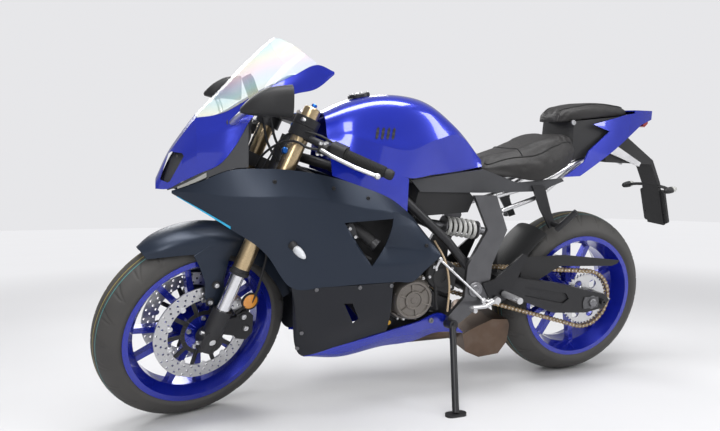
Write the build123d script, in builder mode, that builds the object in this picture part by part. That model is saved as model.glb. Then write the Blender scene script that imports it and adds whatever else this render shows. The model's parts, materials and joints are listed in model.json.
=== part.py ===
from build123d import *
import os
from math import atan2, cos, degrees, radians, sin, sqrt

# A sport bike parked on its side stand, in millimetres.
# It is modelled upright: X forward, with the front axle at front_axle_x, Y to its left, Z up.
# At the end it is steered to its left stop, leaned and set on the ground.

# Chassis geometry
wheelbase = 1395
front_axle_x = 1395
rake = 23.7
trail = 90
steer_stop = 21
lean = 8.3

# Wheels and tyres
front_tyre_radius = 300
front_tyre_width = 120
front_shoulder_drop = 50
rear_tyre_radius = 315
rear_tyre_width = 180
rear_shoulder_drop = 60
rim_radius = 233
rim_lip = 6
rim_wall = 9
front_rim_width = 112
rear_rim_width = 166
spoke_pairs = 5
spoke_spread = 14
spoke_root_spread = 9
spoke_width = 20
spoke_thickness = 26
front_spoke_angle = -6
rear_spoke_angle = 100
hub_radius = 38
front_hub_width = 110
rear_hub_width = 176
axle_radius = 10
axle_fit = 0.3
bearing_gap = 1
seat_gap = 0.3

# Brakes
front_disc_radius = 149
rear_disc_radius = 122.5
disc_thickness = 5
disc_band = 34
disc_arms = 10
disc_arm_width = 13
carrier_radius = 72
carrier_hole = 9
pad_gap = 5
caliper_wall = 13

# Fork and steering head
leg_spacing = 210
inner_tube_radius = 20.5
outer_tube_radius = 26
fork_bottom_radius = 29
fork_length = 745
outer_tube_start = 228
lower_clamp_at = 470
lower_clamp_height = 34
upper_clamp_at = 690
upper_clamp_height = 26
clamp_wall = 13
stem_radius = 14
head_tube_radius = 31
head_clearance = 0.8
clip_height = 34
clip_gap = 1

# Handlebars
bar_radius = 11
grip_radius = 17
bar_start = (1129, 126, 906)
bar_end = (988, 340, 842)
grip_length = 128

# Final drive
chain_pitch = 15.875
rear_teeth = 42
front_teeth = 16
chain_height = 15
chain_width = 20
chain_clearance = 6
output_shaft = (612, 436)
sprocket_thickness = 6
tooth_rise = 7
tooth_width = 9
sprocket_windows = 6
sprocket_window = 16
link_waist = 3.5

# Rear suspension and pivot
swing_pivot = (503, 399)
pivot_radius = 24
plate_thickness = 16
arm_inner = 123
arm_thickness = 27
pocket_depth = 6
spool_at = (-46, 314)
spool_radius = 4
spool_boss_radius = 11
spool_depth = 12

# Bodywork
panel = 4
screen_thickness = 3

# Plate holder
plate_holder_half = 40
plate_bracket = 8
plate_pad_width = 116
plate_pad_height = 140
plate_hole_spacing = 90
plate_hole_rise = 30
plate_hole_radius = 3.25

# Side stand
stand_pivot = (587, 180, 288)
stand_foot = (632, 318)
stand_tube = 11
stand_pin = 6

rake_sin = sin(radians(rake))
rake_cos = cos(radians(rake))
front_axle = Vector(front_axle_x, 0, front_tyre_radius)
rear_axle = Vector(front_axle_x - wheelbase, 0, rear_tyre_radius)
fork_offset = front_tyre_radius * rake_sin - trail * rake_cos
half_legs = leg_spacing / 2
steer_axis = Axis((front_axle_x + trail, 0, 0), (-rake_sin, 0, rake_cos))
fork = Plane(origin=front_axle, x_dir=(rake_cos, 0, rake_sin), z_dir=(-rake_sin, 0, rake_cos))
rear_pitch_radius = chain_pitch / (2 * sin(radians(180 / rear_teeth)))
front_pitch_radius = chain_pitch / (2 * sin(radians(180 / front_teeth)))
chain_line = rear_tyre_width / 2 + chain_width / 2 + chain_clearance
side = Plane.XZ


def cross_plane(x):
    return Plane(origin=(x, 0, 0), x_dir=(0, 1, 0), z_dir=(1, 0, 0))


def across(x, half):
    with BuildSketch(cross_plane(x)) as made:
        with BuildLine():
            Polyline(*half, *[(-y, z) for y, z in reversed(half) if y > 0], close=True)
        make_face()
    return made.sketch


def loft_through(sections):
    with BuildPart() as made:
        loft(sections=sections)
    return made.part


def hind_from(points):
    return [(x + rear_axle.X, z) for x, z in points]


def slab(points, near, far):
    with BuildPart() as made:
        with BuildSketch(side.offset(-near)):
            with BuildLine():
                Polyline(*points, close=True)
            make_face()
        extrude(amount=near - far)
    return made.part


def both_sides(piece):
    with BuildPart() as made:
        add(piece)
        mirror(about=Plane.XZ)
    return made.part


def tube(points, radius, bends):
    with BuildPart() as made:
        with BuildLine() as path:
            if len(points) > 2:
                FilletPolyline(*points, radius=bends)
            else:
                Line(*points)
        with BuildSketch(Plane(origin=path.line @ 0, z_dir=path.line % 0)):
            Circle(radius)
        sweep()
    return made.part


def rod(start, end, radius):
    return tube([start, end], radius, 0)


def panel_of(shell, points):
    with BuildPart() as made:
        add(shell)
        with BuildSketch(side):
            with BuildLine():
                Polyline(*points, close=True)
            make_face()
        extrude(amount=500, both=True, mode=Mode.INTERSECT)
    return made.part


def clear_of(piece, *others):
    with BuildPart() as made:
        add(piece)
        for other in others:
            add(other, mode=Mode.SUBTRACT)
    return made.part


def largest(piece, count):
    with BuildPart() as made:
        add(piece.solids().sort_by(SortBy.VOLUME)[-count:])
    return made.part


def left_of(piece):
    return piece.solids().sort_by(Axis.Y)[-1]


def radial_plane(centre):
    return Plane(origin=centre, x_dir=(0, 1, 0), z_dir=(1, 0, 0))


def wheel_axis(centre):
    return Axis(centre, (0, 1, 0))


pieces = {}


def keep(name, body, piece):
    pieces[name] = (body, piece)


# Tyres: a crown arc down to the shoulders, then straight walls to the rim lips
def tyre(centre, radius, width, drop, rim_width):
    half = width / 2
    foot = rim_width / 2 - 1
    base = rim_radius + seat_gap
    with BuildPart() as made:
        with BuildSketch(radial_plane(centre)):
            with BuildLine():
                ThreePointArc((-half, radius - drop), (0, radius), (half, radius - drop))
                Polyline((half, radius - drop), (foot, base), (-foot, base), (-half, radius - drop))
            make_face()
        revolve(axis=wheel_axis(centre))
    return made.part


keep("front_tyre", "front_wheel",
     tyre(front_axle, front_tyre_radius, front_tyre_width, front_shoulder_drop, front_rim_width))
keep("rear_tyre", "rear_wheel",
     tyre(rear_axle, rear_tyre_radius, rear_tyre_width, rear_shoulder_drop, rear_rim_width))


# Cast wheels: a lipped rim, a hub and paired spokes
def rim(centre, width, hub_width, first_angle):
    half = width / 2
    well = rim_radius - 28
    lip_root = rim_radius - 14
    with BuildPart() as made:
        with BuildSketch(radial_plane(centre)):
            with BuildLine():
                Polyline(
                    (-half, lip_root - 2), (-half, rim_radius), (rim_lip - half, rim_radius),
                    (2 * rim_lip - half, lip_root), (-half / 3, well), (half / 3, well),
                    (half - 2 * rim_lip, lip_root), (half - rim_lip, rim_radius), (half, rim_radius),
                    (half, lip_root - 2), (half / 3 + 4, well - rim_wall), (-half / 3 - 4, well - rim_wall),
                    close=True)
            make_face()
        revolve(axis=wheel_axis(centre))
        with BuildSketch(Plane(origin=centre, x_dir=(1, 0, 0), z_dir=(0, -1, 0))):
            Circle(hub_radius)
        extrude(amount=hub_width / 2, both=True)
        with BuildSketch(Plane(origin=centre, x_dir=(1, 0, 0), z_dir=(0, -1, 0))):
            for pair in range(spoke_pairs):
                for lean_side in (-1, 1):
                    middle_angle = first_angle + 360 / spoke_pairs * pair
                    root_angle = radians(middle_angle + lean_side * spoke_root_spread)
                    tip_angle = radians(middle_angle + lean_side * spoke_spread)
                    root = Vector(cos(root_angle), sin(root_angle)) * (hub_radius - 4)
                    tip = Vector(cos(tip_angle), sin(tip_angle)) * (well - rim_wall + 3)
                    run = (tip - root).normalized()
                    wide = Vector(-run.Y, run.X) * spoke_width / 2
                    with BuildLine():
                        Polyline(root + wide * 1.2, tip + wide * 0.85, tip - wide * 0.85, root - wide * 1.2,
                                 close=True)
                    make_face()
        extrude(amount=spoke_thickness / 2, both=True)
        with BuildSketch(Plane(origin=centre, x_dir=(1, 0, 0), z_dir=(0, -1, 0))):
            Circle(axle_radius + head_clearance)
        extrude(amount=hub_width, both=True, mode=Mode.SUBTRACT)
    return made.part


keep("front_rim", "front_wheel", rim(front_axle, front_rim_width, front_hub_width, front_spoke_angle))
keep("rear_rim", "rear_wheel", rim(rear_axle, rear_rim_width, rear_hub_width, rear_spoke_angle))


# Brake discs: a braking band held by arms on a pierced carrier that seats on the hub's end
def disc(centre, inner_face, outward, radius):
    with BuildPart() as made:
        with BuildSketch(Plane(origin=centre + Vector(0, inner_face, 0), x_dir=(1, 0, 0), z_dir=(0, outward, 0))):
            Circle(radius)
            Circle(radius - disc_band, mode=Mode.SUBTRACT)
            Circle(carrier_radius)
            with PolarLocations((radius - disc_band + carrier_radius) / 2, disc_arms):
                Rectangle(radius - disc_band - carrier_radius + 8, disc_arm_width)
            Circle(axle_radius + 14, mode=Mode.SUBTRACT)
            with PolarLocations((carrier_radius + axle_radius + 14) / 2 + 2, disc_arms):
                Circle(carrier_hole, mode=Mode.SUBTRACT)
        extrude(amount=disc_thickness)
    return made.part


front_disc_face = front_hub_width / 2 + seat_gap
with BuildPart() as front_discs:
    add(disc(front_axle, front_disc_face, 1, front_disc_radius))
    mirror(about=Plane.XZ)
keep("front_discs", "front_wheel", front_discs.part)
rear_disc_face = rear_hub_width / 2 + seat_gap
keep("rear_disc", "rear_wheel", disc(rear_axle, -rear_disc_face, -1, rear_disc_radius))

# Rear sprocket, its teeth just inside the chain
sprocket_radius = rear_pitch_radius - chain_height / 2 - 1
with BuildPart() as rear_sprocket:
    with BuildSketch(Plane(origin=rear_axle + Vector(0, chain_line - sprocket_thickness / 2, 0),
                           x_dir=(1, 0, 0), z_dir=(0, 1, 0))):
        Circle(sprocket_radius - tooth_rise)
        with PolarLocations(sprocket_radius - tooth_rise / 2 - 1, rear_teeth):
            Trapezoid(tooth_width, tooth_rise + 2, 70, rotation=-90)
        Circle(axle_radius + 14, mode=Mode.SUBTRACT)
        with PolarLocations(hub_radius + 26, sprocket_windows):
            Circle(sprocket_window, mode=Mode.SUBTRACT)
    extrude(amount=sprocket_thickness)
    with BuildSketch(Plane(origin=rear_axle + Vector(0, rear_hub_width / 2 + seat_gap, 0),
                           x_dir=(1, 0, 0), z_dir=(0, 1, 0))):
        Circle(hub_radius + 8)
        Circle(axle_radius + 14, mode=Mode.SUBTRACT)
    extrude(amount=chain_line - sprocket_thickness / 2 - rear_hub_width / 2 - seat_gap)
keep("rear_sprocket", "rear_wheel", rear_sprocket.part)

# Chain: waisted links in a loop round both sprockets
shaft = Vector(output_shaft[0], output_shaft[1])
hind = Vector(rear_axle.X, rear_axle.Z)
drive_run = shaft - hind
drive_tilt = degrees(atan2(drive_run.Y, drive_run.X))
wrap = degrees(atan2(rear_pitch_radius - front_pitch_radius,
                     sqrt(drive_run.length ** 2 - (rear_pitch_radius - front_pitch_radius) ** 2)))
leave = radians(drive_tilt + 90 - wrap)
arrive = radians(drive_tilt - 90 + wrap)


def about(centre, reach, angle):
    return centre + Vector(cos(angle), sin(angle)) * reach


with BuildLine() as pitch_line:
    Line(about(hind, rear_pitch_radius, leave), about(shaft, front_pitch_radius, leave))
    ThreePointArc(about(shaft, front_pitch_radius, leave), about(shaft, front_pitch_radius, radians(drive_tilt)),
                  about(shaft, front_pitch_radius, arrive))
    Line(about(shaft, front_pitch_radius, arrive), about(hind, rear_pitch_radius, arrive))
    ThreePointArc(about(hind, rear_pitch_radius, arrive), about(hind, rear_pitch_radius, radians(drive_tilt + 180)),
                  about(hind, rear_pitch_radius, leave))
pitch_loop = pitch_line.wire()
chain_links = round(pitch_loop.length / chain_pitch / 2) * 2


# Each link's edge: columns share of a pitch, rise off the pitch line
def link_edge(outward):
    points = []
    for link in range(chain_links):
        for share, rise in ((-0.2, chain_height / 2), (0.2, chain_height / 2), (0.5, link_waist)):
            at = ((link + share) / chain_links) % 1
            run = pitch_loop.tangent_at(at)
            points.append(pitch_loop.position_at(at) + Vector(-run.Y, run.X) * rise * outward)
    return points


with BuildPart() as chain:
    with BuildSketch(side.offset(-chain_line + chain_width / 2)):
        with BuildLine():
            Polyline(*link_edge(1), close=True)
        make_face()
        with BuildLine():
            Polyline(*link_edge(-1), close=True)
        make_face(mode=Mode.SUBTRACT)
    extrude(amount=-chain_width)
keep("chain", "chassis", chain.part)

# Axles
front_axle_half = half_legs + fork_bottom_radius - 4
keep("front_axle", "steering", rod(front_axle - Vector(0, front_axle_half, 0),
                                   front_axle + Vector(0, front_axle_half, 0), axle_radius))
arm_outer = arm_inner + arm_thickness
with BuildPart() as rear_axle_bar:
    add(rod(rear_axle - Vector(0, arm_outer + 12, 0), rear_axle + Vector(0, arm_outer + 12, 0), axle_radius))
    for outward, hub_end in ((1, chain_line + sprocket_thickness / 2), (-1, rear_disc_face + disc_thickness)):
        with BuildSketch(Plane(origin=rear_axle + Vector(0, outward * (hub_end + bearing_gap), 0),
                               x_dir=(1, 0, 0), z_dir=(0, outward, 0))):
            Circle(axle_radius + 8)
        extrude(amount=arm_inner - seat_gap - hub_end - bearing_gap)
keep("rear_axle", "chassis", rear_axle_bar.part)


# Fork, drawn along its leg with its plane's Z
def leg_plane(at, y=half_legs):
    return Plane(origin=fork.from_local_coords((0, y, at)), x_dir=fork.x_dir, z_dir=fork.z_dir)


def leg_part(start, end, outer, inner=0):
    with BuildPart() as made:
        with BuildSketch(leg_plane(start)):
            Circle(outer)
            if inner:
                Circle(inner, mode=Mode.SUBTRACT)
        extrude(amount=end - start)
    return made.part


fork_bottom_top = 96
keep("fork_outer_tubes", "steering",
     both_sides(leg_part(outer_tube_start, fork_length, outer_tube_radius, inner_tube_radius + seat_gap)))
keep("fork_inner_tubes", "steering",
     both_sides(leg_part(fork_bottom_top - 50, fork_length - 60, inner_tube_radius)))

with BuildPart() as fork_bottom:
    with BuildSketch(leg_plane(-34)):
        Circle(fork_bottom_radius)
    extrude(amount=34 + fork_bottom_top)
    with BuildSketch(Plane(origin=front_axle + Vector(0, half_legs - fork_bottom_radius + 2, 0),
                           x_dir=fork.x_dir, z_dir=(0, 1, 0))):
        Circle(fork_bottom_radius + 4)
    extrude(amount=2 * fork_bottom_radius - 8)
    with BuildSketch(leg_plane(fork_bottom_top - 50 - seat_gap)):
        Circle(inner_tube_radius + seat_gap)
    extrude(amount=100, mode=Mode.SUBTRACT)
    add(rod(front_axle, front_axle + Vector(0, 200, 0), axle_radius + axle_fit), mode=Mode.SUBTRACT)
    mirror(about=Plane.XZ)
keep("fork_bottoms", "steering", fork_bottom.part)


def clamp(at, height, with_stem):
    with BuildPart() as made:
        with BuildSketch(leg_plane(at, 0)):
            with Locations((0, half_legs), (0, -half_legs)):
                Circle(outer_tube_radius + clamp_wall)
            with Locations((-fork_offset, 0)):
                Circle(stem_radius + clamp_wall + 8)
            with BuildLine():
                Polyline((-30, half_legs), (22, half_legs), (10, 0), (22, -half_legs), (-30, -half_legs),
                         (-fork_offset - 30, 0), close=True)
            make_face()
            with Locations((0, half_legs), (0, -half_legs)):
                Circle(outer_tube_radius + seat_gap, mode=Mode.SUBTRACT)
            if not with_stem:
                with Locations((-fork_offset, 0)):
                    Circle(stem_radius + seat_gap, mode=Mode.SUBTRACT)
        extrude(amount=height)
        if with_stem:
            with BuildSketch(leg_plane(at, 0)):
                with Locations((-fork_offset, 0)):
                    Circle(stem_radius)
            extrude(amount=upper_clamp_at + upper_clamp_height + 8 - at)
    return made.part


with BuildPart() as fork_clamps:
    add(clamp(lower_clamp_at, lower_clamp_height, True))
    add(clamp(upper_clamp_at, upper_clamp_height, False))
keep("fork_clamps", "steering", fork_clamps.part)

# Clip-on bars, swept back and down from rings under the upper clamp
bar_from = Vector(*bar_start)
bar_to = Vector(*bar_end)
bar_run = (bar_to - bar_from).normalized()
bar_length = (bar_to - bar_from).length
bar_ahead = (Vector(1, 0, 0.1) - bar_run * Vector(1, 0, 0.1).dot(bar_run)).normalized()
bar = Plane(origin=bar_from, x_dir=bar_ahead, z_dir=bar_run)


def on_bar(ahead, up, along):
    return bar.from_local_coords((ahead, up, along))


clip_at = upper_clamp_at - clip_height - clip_gap
with BuildPart() as clip_ons:
    with BuildSketch(leg_plane(clip_at)):
        Circle(outer_tube_radius + clamp_wall)
    extrude(amount=clip_height)
    add(rod(bar_from, bar_to, bar_radius))
    with BuildSketch(leg_plane(clip_at - 100)):
        Circle(outer_tube_radius + seat_gap)
    extrude(amount=300, mode=Mode.SUBTRACT)
    with BuildSketch(bar.offset(bar_length)):
        Circle(grip_radius - 3)
    extrude(amount=18)
    mirror(about=Plane.XZ)
keep("clip_ons", "steering", clip_ons.part)

with BuildPart() as grips:
    with BuildSketch(bar.offset(bar_length - grip_length)):
        Circle(grip_radius)
        Circle(bar_radius + seat_gap, mode=Mode.SUBTRACT)
    extrude(amount=grip_length - seat_gap)
    mirror(about=Plane.XZ)
keep("grips", "steering", grips.part)

switch_length = 44
perch_length = 24
switch_at = bar_length - grip_length - switch_length - 1
with BuildPart() as bar_controls:
    with BuildSketch(bar.offset(switch_at)):
        RectangleRounded(44, 46, 12)
        Circle(bar_radius + seat_gap, mode=Mode.SUBTRACT)
    extrude(amount=switch_length)
    with BuildSketch(bar.offset(switch_at - perch_length - 1)):
        with Locations((14, 0)):
            RectangleRounded(64, 30, 10)
        Circle(bar_radius + seat_gap, mode=Mode.SUBTRACT)
    extrude(amount=perch_length)
    mirror(about=Plane.XZ)
keep("bar_controls", "steering", bar_controls.part)

lever_reach = 62
with BuildPart() as levers:
    add(tube([on_bar(46.5, 0, switch_at - 14), on_bar(lever_reach, 0, switch_at + 26),
              on_bar(lever_reach + 6, 0, bar_length - 70), on_bar(lever_reach - 4, 0, bar_length - 6)],
             6, 20))
    with Locations(on_bar(lever_reach - 4, 0, bar_length - 6)):
        Sphere(9)
    mirror(about=Plane.XZ)
keep("levers", "steering", clear_of(levers.part, bar_controls.part))

# Front fender: a thin shell round the tyre with a stay down to each fork bottom
fender_radius = 328
fender_half = 77
fender_skirt = 262
fender_front = 58
fender_rear = 166
with BuildPart() as front_fender:
    with BuildSketch(radial_plane(front_axle)):
        with BuildLine():
            ThreePointArc((-fender_half + 1, fender_skirt + 36), (0, fender_radius),
                          (fender_half - 1, fender_skirt + 36))
            Polyline((fender_half - 1, fender_skirt + 36), (fender_half, fender_skirt),
                     (fender_half - panel, fender_skirt), (fender_half - panel - 1, fender_skirt + 35))
            ThreePointArc((fender_half - panel - 1, fender_skirt + 35), (0, fender_radius - panel),
                          (-fender_half + panel + 1, fender_skirt + 35))
            Polyline((-fender_half + panel + 1, fender_skirt + 35), (-fender_half + panel, fender_skirt),
                     (-fender_half, fender_skirt), (-fender_half + 1, fender_skirt + 36))
        make_face()
    revolve(axis=wheel_axis(front_axle), revolution_arc=fender_rear - fender_front)
fender_shell = front_fender.part.rotate(wheel_axis(front_axle), 90 - fender_rear)
stay_outline = [(1435, 570), (1335, 575), (1322, 555), (1344, 470), (1336, 372), (1366, 366),
                (1400, 420), (1398, 470), (1420, 530)]
with BuildPart() as fender_whole:
    add(fender_shell)
    add(slab(stay_outline, fender_half - panel, fender_half))
    add(slab(stay_outline, -fender_half, -fender_half + panel))
    add(fork_bottom.part, mode=Mode.SUBTRACT)
keep("front_fender", "steering", fender_whole.part)

# Front calipers, each straddling its disc behind the leg
with BuildPart() as front_calipers:
    caliper_inner = front_disc_face - pad_gap - caliper_wall
    caliper_outer = front_disc_face + disc_thickness + pad_gap + caliper_wall
    with BuildSketch(side.offset(-caliper_inner)):
        with BuildLine():
            Polyline((1296, 345), (1262, 352), (1240, 330), (1240, 272), (1262, 250), (1296, 262), close=True)
        make_face()
    extrude(amount=caliper_inner - caliper_outer)
    with BuildSketch(side.offset(-front_disc_face + pad_gap)):
        with Locations((front_axle.X, front_axle.Z)):
            Circle(front_disc_radius + pad_gap)
    extrude(amount=-disc_thickness - 2 * pad_gap, mode=Mode.SUBTRACT)
    with BuildSketch(side.offset(-caliper_outer + caliper_wall - 0.01)):
        with BuildLine():
            Polyline((1288, 338), (1362, 330), (1362, 296), (1288, 268), close=True)
        make_face()
    extrude(amount=-caliper_wall)
    add(leg_part(-80, 300, fork_bottom_radius + seat_gap), mode=Mode.SUBTRACT)
    with BuildSketch(Plane(origin=front_axle, x_dir=(1, 0, 0), z_dir=(0, 1, 0))):
        Circle(fork_bottom_radius + 4 + seat_gap)
    extrude(amount=300, mode=Mode.SUBTRACT)
    mirror(about=Plane.XZ)
keep("front_calipers", "steering", front_calipers.part)

# Bodywork skins: thin lofts through sections across the bike, front to back
def inset(points, wall):
    moved = []
    for index, point in enumerate(points):
        before = points[max(index - 1, 0)]
        after = points[min(index + 1, len(points) - 1)]
        run = Vector(after[0] - before[0], after[1] - before[1]).normalized()
        moved.append((point[0] + run.Y * wall, point[1] - run.X * wall))
    return moved


def pairs(values):
    return list(zip(values[0::2], values[1::2]))


# A strip on the left side: each row holds x, then y and z from its top edge to its low edge
def strip(rows, wall):
    sections = []
    for x, *values in rows:
        outer = pairs(values)
        with BuildSketch(cross_plane(x)) as section:
            with BuildLine():
                Polyline(*outer, *reversed(inset(outer, wall)), close=True)
            make_face()
        sections.append(section.sketch)
    return loft_through(sections)


# An arch over both sides: each row holds x, the crest z, then y and z down the left side
def arch(rows, wall):
    sections = []
    for x, crest, *values in rows:
        half = pairs(values)
        outer = [(-y, z) for y, z in reversed(half)] + [(0, crest)] + half
        with BuildSketch(cross_plane(x)) as section:
            with BuildLine():
                Polyline(*outer, *reversed(inset(outer, wall)), close=True)
            make_face()
        sections.append(section.sketch)
    return loft_through(sections)


# Side fairing columns: x, then top edge, shoulder, waist and low edge
side_fairing_rows = [
    (1456, 66, 722, 68, 719.5, 67.5, 717, 66, 714),
    (1385, 112, 750, 117, 722, 113, 694, 108, 674),
    (1300, 147, 788, 158, 716, 152, 660, 144, 622),
    (1200, 166, 795, 188, 718, 186, 640, 175, 548),
    (1136, 172, 793, 197, 720, 197, 610, 186, 455),
    (1024, 175, 776, 205, 708, 208, 590, 197, 449),
    (914, 168, 744, 200, 684, 206, 580, 198, 451),
    (800, 158, 695, 188, 664, 199, 570, 196, 451),
    (745, 152, 652, 174, 636, 194, 556, 194, 449),
    (700, 166, 596, 179, 586, 190, 543, 190, 484),
    (650, 181, 536, 184, 532, 186, 528, 186, 522),
]
# Lower fairing columns: x, then seam edge, flank and low edge
lower_fairing_rows = [
    (1128, 187, 453, 186, 448, 185, 444),
    (1086, 191, 448, 178, 330, 128, 212),
    (960, 197, 448, 186, 330, 134, 234),
    (880, 197.5, 449.5, 187, 345, 146, 257),
    (812, 196, 450, 186, 355, 158, 277),
]
# Belly strip columns: x, then top edge and low edge
belly_rows = [
    (1075, 126, 208, 118, 202),
    (960, 134, 233, 116, 188),
    (812, 158, 275, 122, 212),
    (700, 152, 297, 116, 216),
    (616, 146, 318, 118, 240),
    (521, 134, 240, 126, 233),
]
# Inner cowl columns: x, then top edge and low edge
inner_cowl_rows = [
    (1468, 58, 726, 58, 722),
    (1387, 108, 771, 110, 752),
    (1320, 141, 810, 141, 783),
    (1285, 149, 856, 150, 794),
    (1250, 155, 920, 157, 798),
]
# Cowl wing columns: x, then screen edge, flank and low edge
cowl_wing_rows = [
    (1387, 72, 930, 103, 860, 108, 772),
    (1320, 112, 943, 134, 885, 142, 811),
    (1285, 128, 962, 144, 912, 150, 857),
    (1242, 146, 990, 155, 962, 160, 934),
    (1126, 164, 1056, 170, 1030, 172, 1004),
    (1061, 169, 1088, 174, 1056, 176, 1024),
    (1013, 173, 1072, 175, 1068, 174, 1064),
]
# Nose columns: x, crest z, then brow, cheek and jaw
nose_rows = [
    (1500, 752, 18, 749, 34, 740, 40, 724),
    (1465, 828, 40, 820, 60, 782, 62, 727),
    (1387, 941, 72, 930, 103, 860, 108, 772),
]
# Windscreen columns: x, base y, base z, crest z
screen_rows = [(1386, 68, 933, 943), (1320, 111, 946, 1012), (1242, 145, 992, 1098), (1126, 163, 1058, 1205),
               (1061, 168, 1090, 1255)]
screen_top = (1165, 1173)
screen_corner = (1061, 1090)
side_window = [(979, 643), (812, 650), (832, 562), (886, 506)]
lower_window = [(968, 392), (941, 391), (918, 338), (934, 322)]
headlight_width = 76
headlight_low = 750
headlight_high = 828

with BuildPart() as front_cowl:
    add(arch(nose_rows, panel))
    add(strip(cowl_wing_rows, panel))
    add(mirror(strip(cowl_wing_rows, panel), about=Plane.XZ, mode=Mode.PRIVATE))
    with Locations((1480, 0, (headlight_low + headlight_high) / 2)):
        Box(120, headlight_width, headlight_high - headlight_low, mode=Mode.SUBTRACT)
keep("front_cowl", "chassis", front_cowl.part)

screen_sections = []
for x, base_y, base_z, crest in screen_rows:
    with BuildSketch(cross_plane(x)) as section:
        with BuildLine():
            ThreePointArc((-base_y, base_z), (0, crest), (base_y, base_z))
            Line((base_y, base_z), (base_y - screen_thickness, base_z))
            ThreePointArc((base_y - screen_thickness, base_z), (0, crest - screen_thickness),
                          (screen_thickness - base_y, base_z))
            Line((screen_thickness - base_y, base_z), (-base_y, base_z))
        make_face()
    screen_sections.append(section.sketch)
with BuildPart() as windscreen:
    add(loft_through(screen_sections))
    with BuildSketch(side):
        with BuildLine():
            Polyline(screen_corner, screen_top, (1200, 1400), (900, 1400), (900, 1090), close=True)
        make_face()
    extrude(amount=400, both=True, mode=Mode.SUBTRACT)
keep("windscreen", "chassis", largest(clear_of(windscreen.part, front_cowl.part), 1))

with BuildPart() as side_fairing:
    add(strip(side_fairing_rows, panel))
    with BuildSketch(side):
        with BuildLine():
            Polyline(*side_window, close=True)
        make_face()
    extrude(amount=-400, mode=Mode.SUBTRACT)
side_fairing_skin = largest(clear_of(side_fairing.part, front_cowl.part), 1)
keep("side_fairings", "chassis", both_sides(side_fairing_skin))
inner_cowl = largest(clear_of(strip(inner_cowl_rows, panel), front_cowl.part, side_fairing_skin), 1)
keep("inner_cowl", "chassis", both_sides(inner_cowl))
lower_fairing = clear_of(strip(lower_fairing_rows, panel), slab(lower_window, 0, 400))
keep("lower_fairings", "chassis", both_sides(lower_fairing))
keep("belly_strips", "chassis", largest(both_sides(clear_of(strip(belly_rows, panel), lower_fairing)), 2))

# Headlight between the nose halves
headlight_centre = (headlight_low + headlight_high) / 2
with BuildPart() as headlight:
    with BuildSketch(cross_plane(1350)):
        with Locations((0, headlight_centre)):
            RectangleRounded(headlight_width - 6, headlight_high - headlight_low - 4, 10)
    extrude(amount=90)
    with BuildSketch(cross_plane(1440)):
        with Locations((0, headlight_centre)):
            Circle(27)
    extrude(amount=14)
# Tank columns: x, crest z, then top shoulder, crease and low edge
tank_rows = [
    (1010, 962, 62, 950, 104, 884, 112, 872),
    (930, 1000, 82, 984, 140, 890, 150, 840),
    (850, 1020, 94, 1002, 151, 870, 155, 808),
    (760, 1026, 98, 1004, 151, 856, 148, 770),
    (660, 1010, 90, 984, 134, 890, 124, 778),
    (570, 956, 70, 936, 108, 905, 106, 787),
    (466, 846, 56, 838, 82, 824, 88, 803),
]
# Tank side panel columns: x, then top edge and low edge
tank_side_rows = [
    (1005, 115, 868, 152, 776),
    (930, 150.5, 838, 162, 748),
    (850, 156, 806, 159, 712),
    (756, 148.5, 767, 148, 662),
]
keep("fuel_tank", "chassis", arch(tank_rows, panel))
tank_side = largest(clear_of(strip(tank_side_rows, panel), pieces["fuel_tank"][1], side_fairing_skin), 1)
keep("tank_side_panels", "chassis", both_sides(tank_side))
with BuildPart() as fuel_cap:
    with BuildSketch(Plane(origin=(880, 0, 1012), z_dir=(0.2, 0, 0.98))):
        Circle(34)
    extrude(amount=12)
    add(pieces["fuel_tank"][1], mode=Mode.SUBTRACT)
keep("fuel_cap", "chassis", fuel_cap.part.solids().sort_by(Axis.Z)[-1])

# Seats: sections across, columns x, top z, top half width, edge half width, edge z, base z
rider_rows = [
    (466, 818, 44, 82, 804, 788),
    (390, 842, 72, 110, 810, 764),
    (310, 866, 100, 140, 818, 758.5),
    (230, 898, 112, 146, 828, 765.3),
    (190, 911, 112, 142, 838, 783.5),
    (150, 918, 104, 132, 850, 803),
    (106, 915, 90, 116, 868, 832),
]
pillion_rows = [
    (150, 1000, 40, 62, 985, 958),
    (90, 1022, 60, 84, 1006, 966),
    (-60, 1034, 58, 80, 1022, 980),
    (-164, 1026, 36, 52, 1018, 992),
]


def cushion(rows):
    sections = []
    for x, top, top_half, edge_half, edge, base in rows:
        sections.append(across(x, [(top_half, top), (edge_half, edge), (edge_half - 6, base)]))
    return loft_through(sections)


# Tail: a hollow wedge behind the seat, cut to its boomerang sides
# Columns: x, top z, top half width, low half width, low z
tail_rows = [(172, 1004, 108, 124, 740), (-60, 1014, 98, 106, 840), (-284, 1020, 46, 48, 965)]


def wedge(rows, wall, floor):
    sections = []
    for x, top, top_half, low_half, low in rows:
        sections.append(across(x, [(top_half - wall, top - wall), (low_half - wall, low + floor)]))
    return loft_through(sections)


with BuildPart() as tail_skin:
    add(wedge(tail_rows, 0, 0))
    add(wedge([(184, 1004, 109, 125, 730), *tail_rows[1:2], (-276, 1019, 48, 50, 960)], panel, -40),
        mode=Mode.SUBTRACT)
tail_outline = [(153, 773), (86, 776), (-67, 867), (-216, 965), (-292, 990), (-292, 1040), (-172, 1040),
                (-172, 1006), (-128, 1000), (41, 959), (-39, 936), (53, 865), (72, 826)]
keep("tail_cowl", "chassis", panel_of(tail_skin.part, tail_outline))
undertray_rows = [(105, 967, 86, 91, 828), (-60, 986, 82, 86, 880), (-262, 1004, 34, 36, 978)]
undertray = wedge(undertray_rows, 0, 0)
keep("undertray", "chassis", undertray)
with BuildPart() as pillion_seat:
    add(cushion(pillion_rows))
    add(undertray, mode=Mode.SUBTRACT)
keep("pillion_seat", "chassis", pillion_seat.part)

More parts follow.
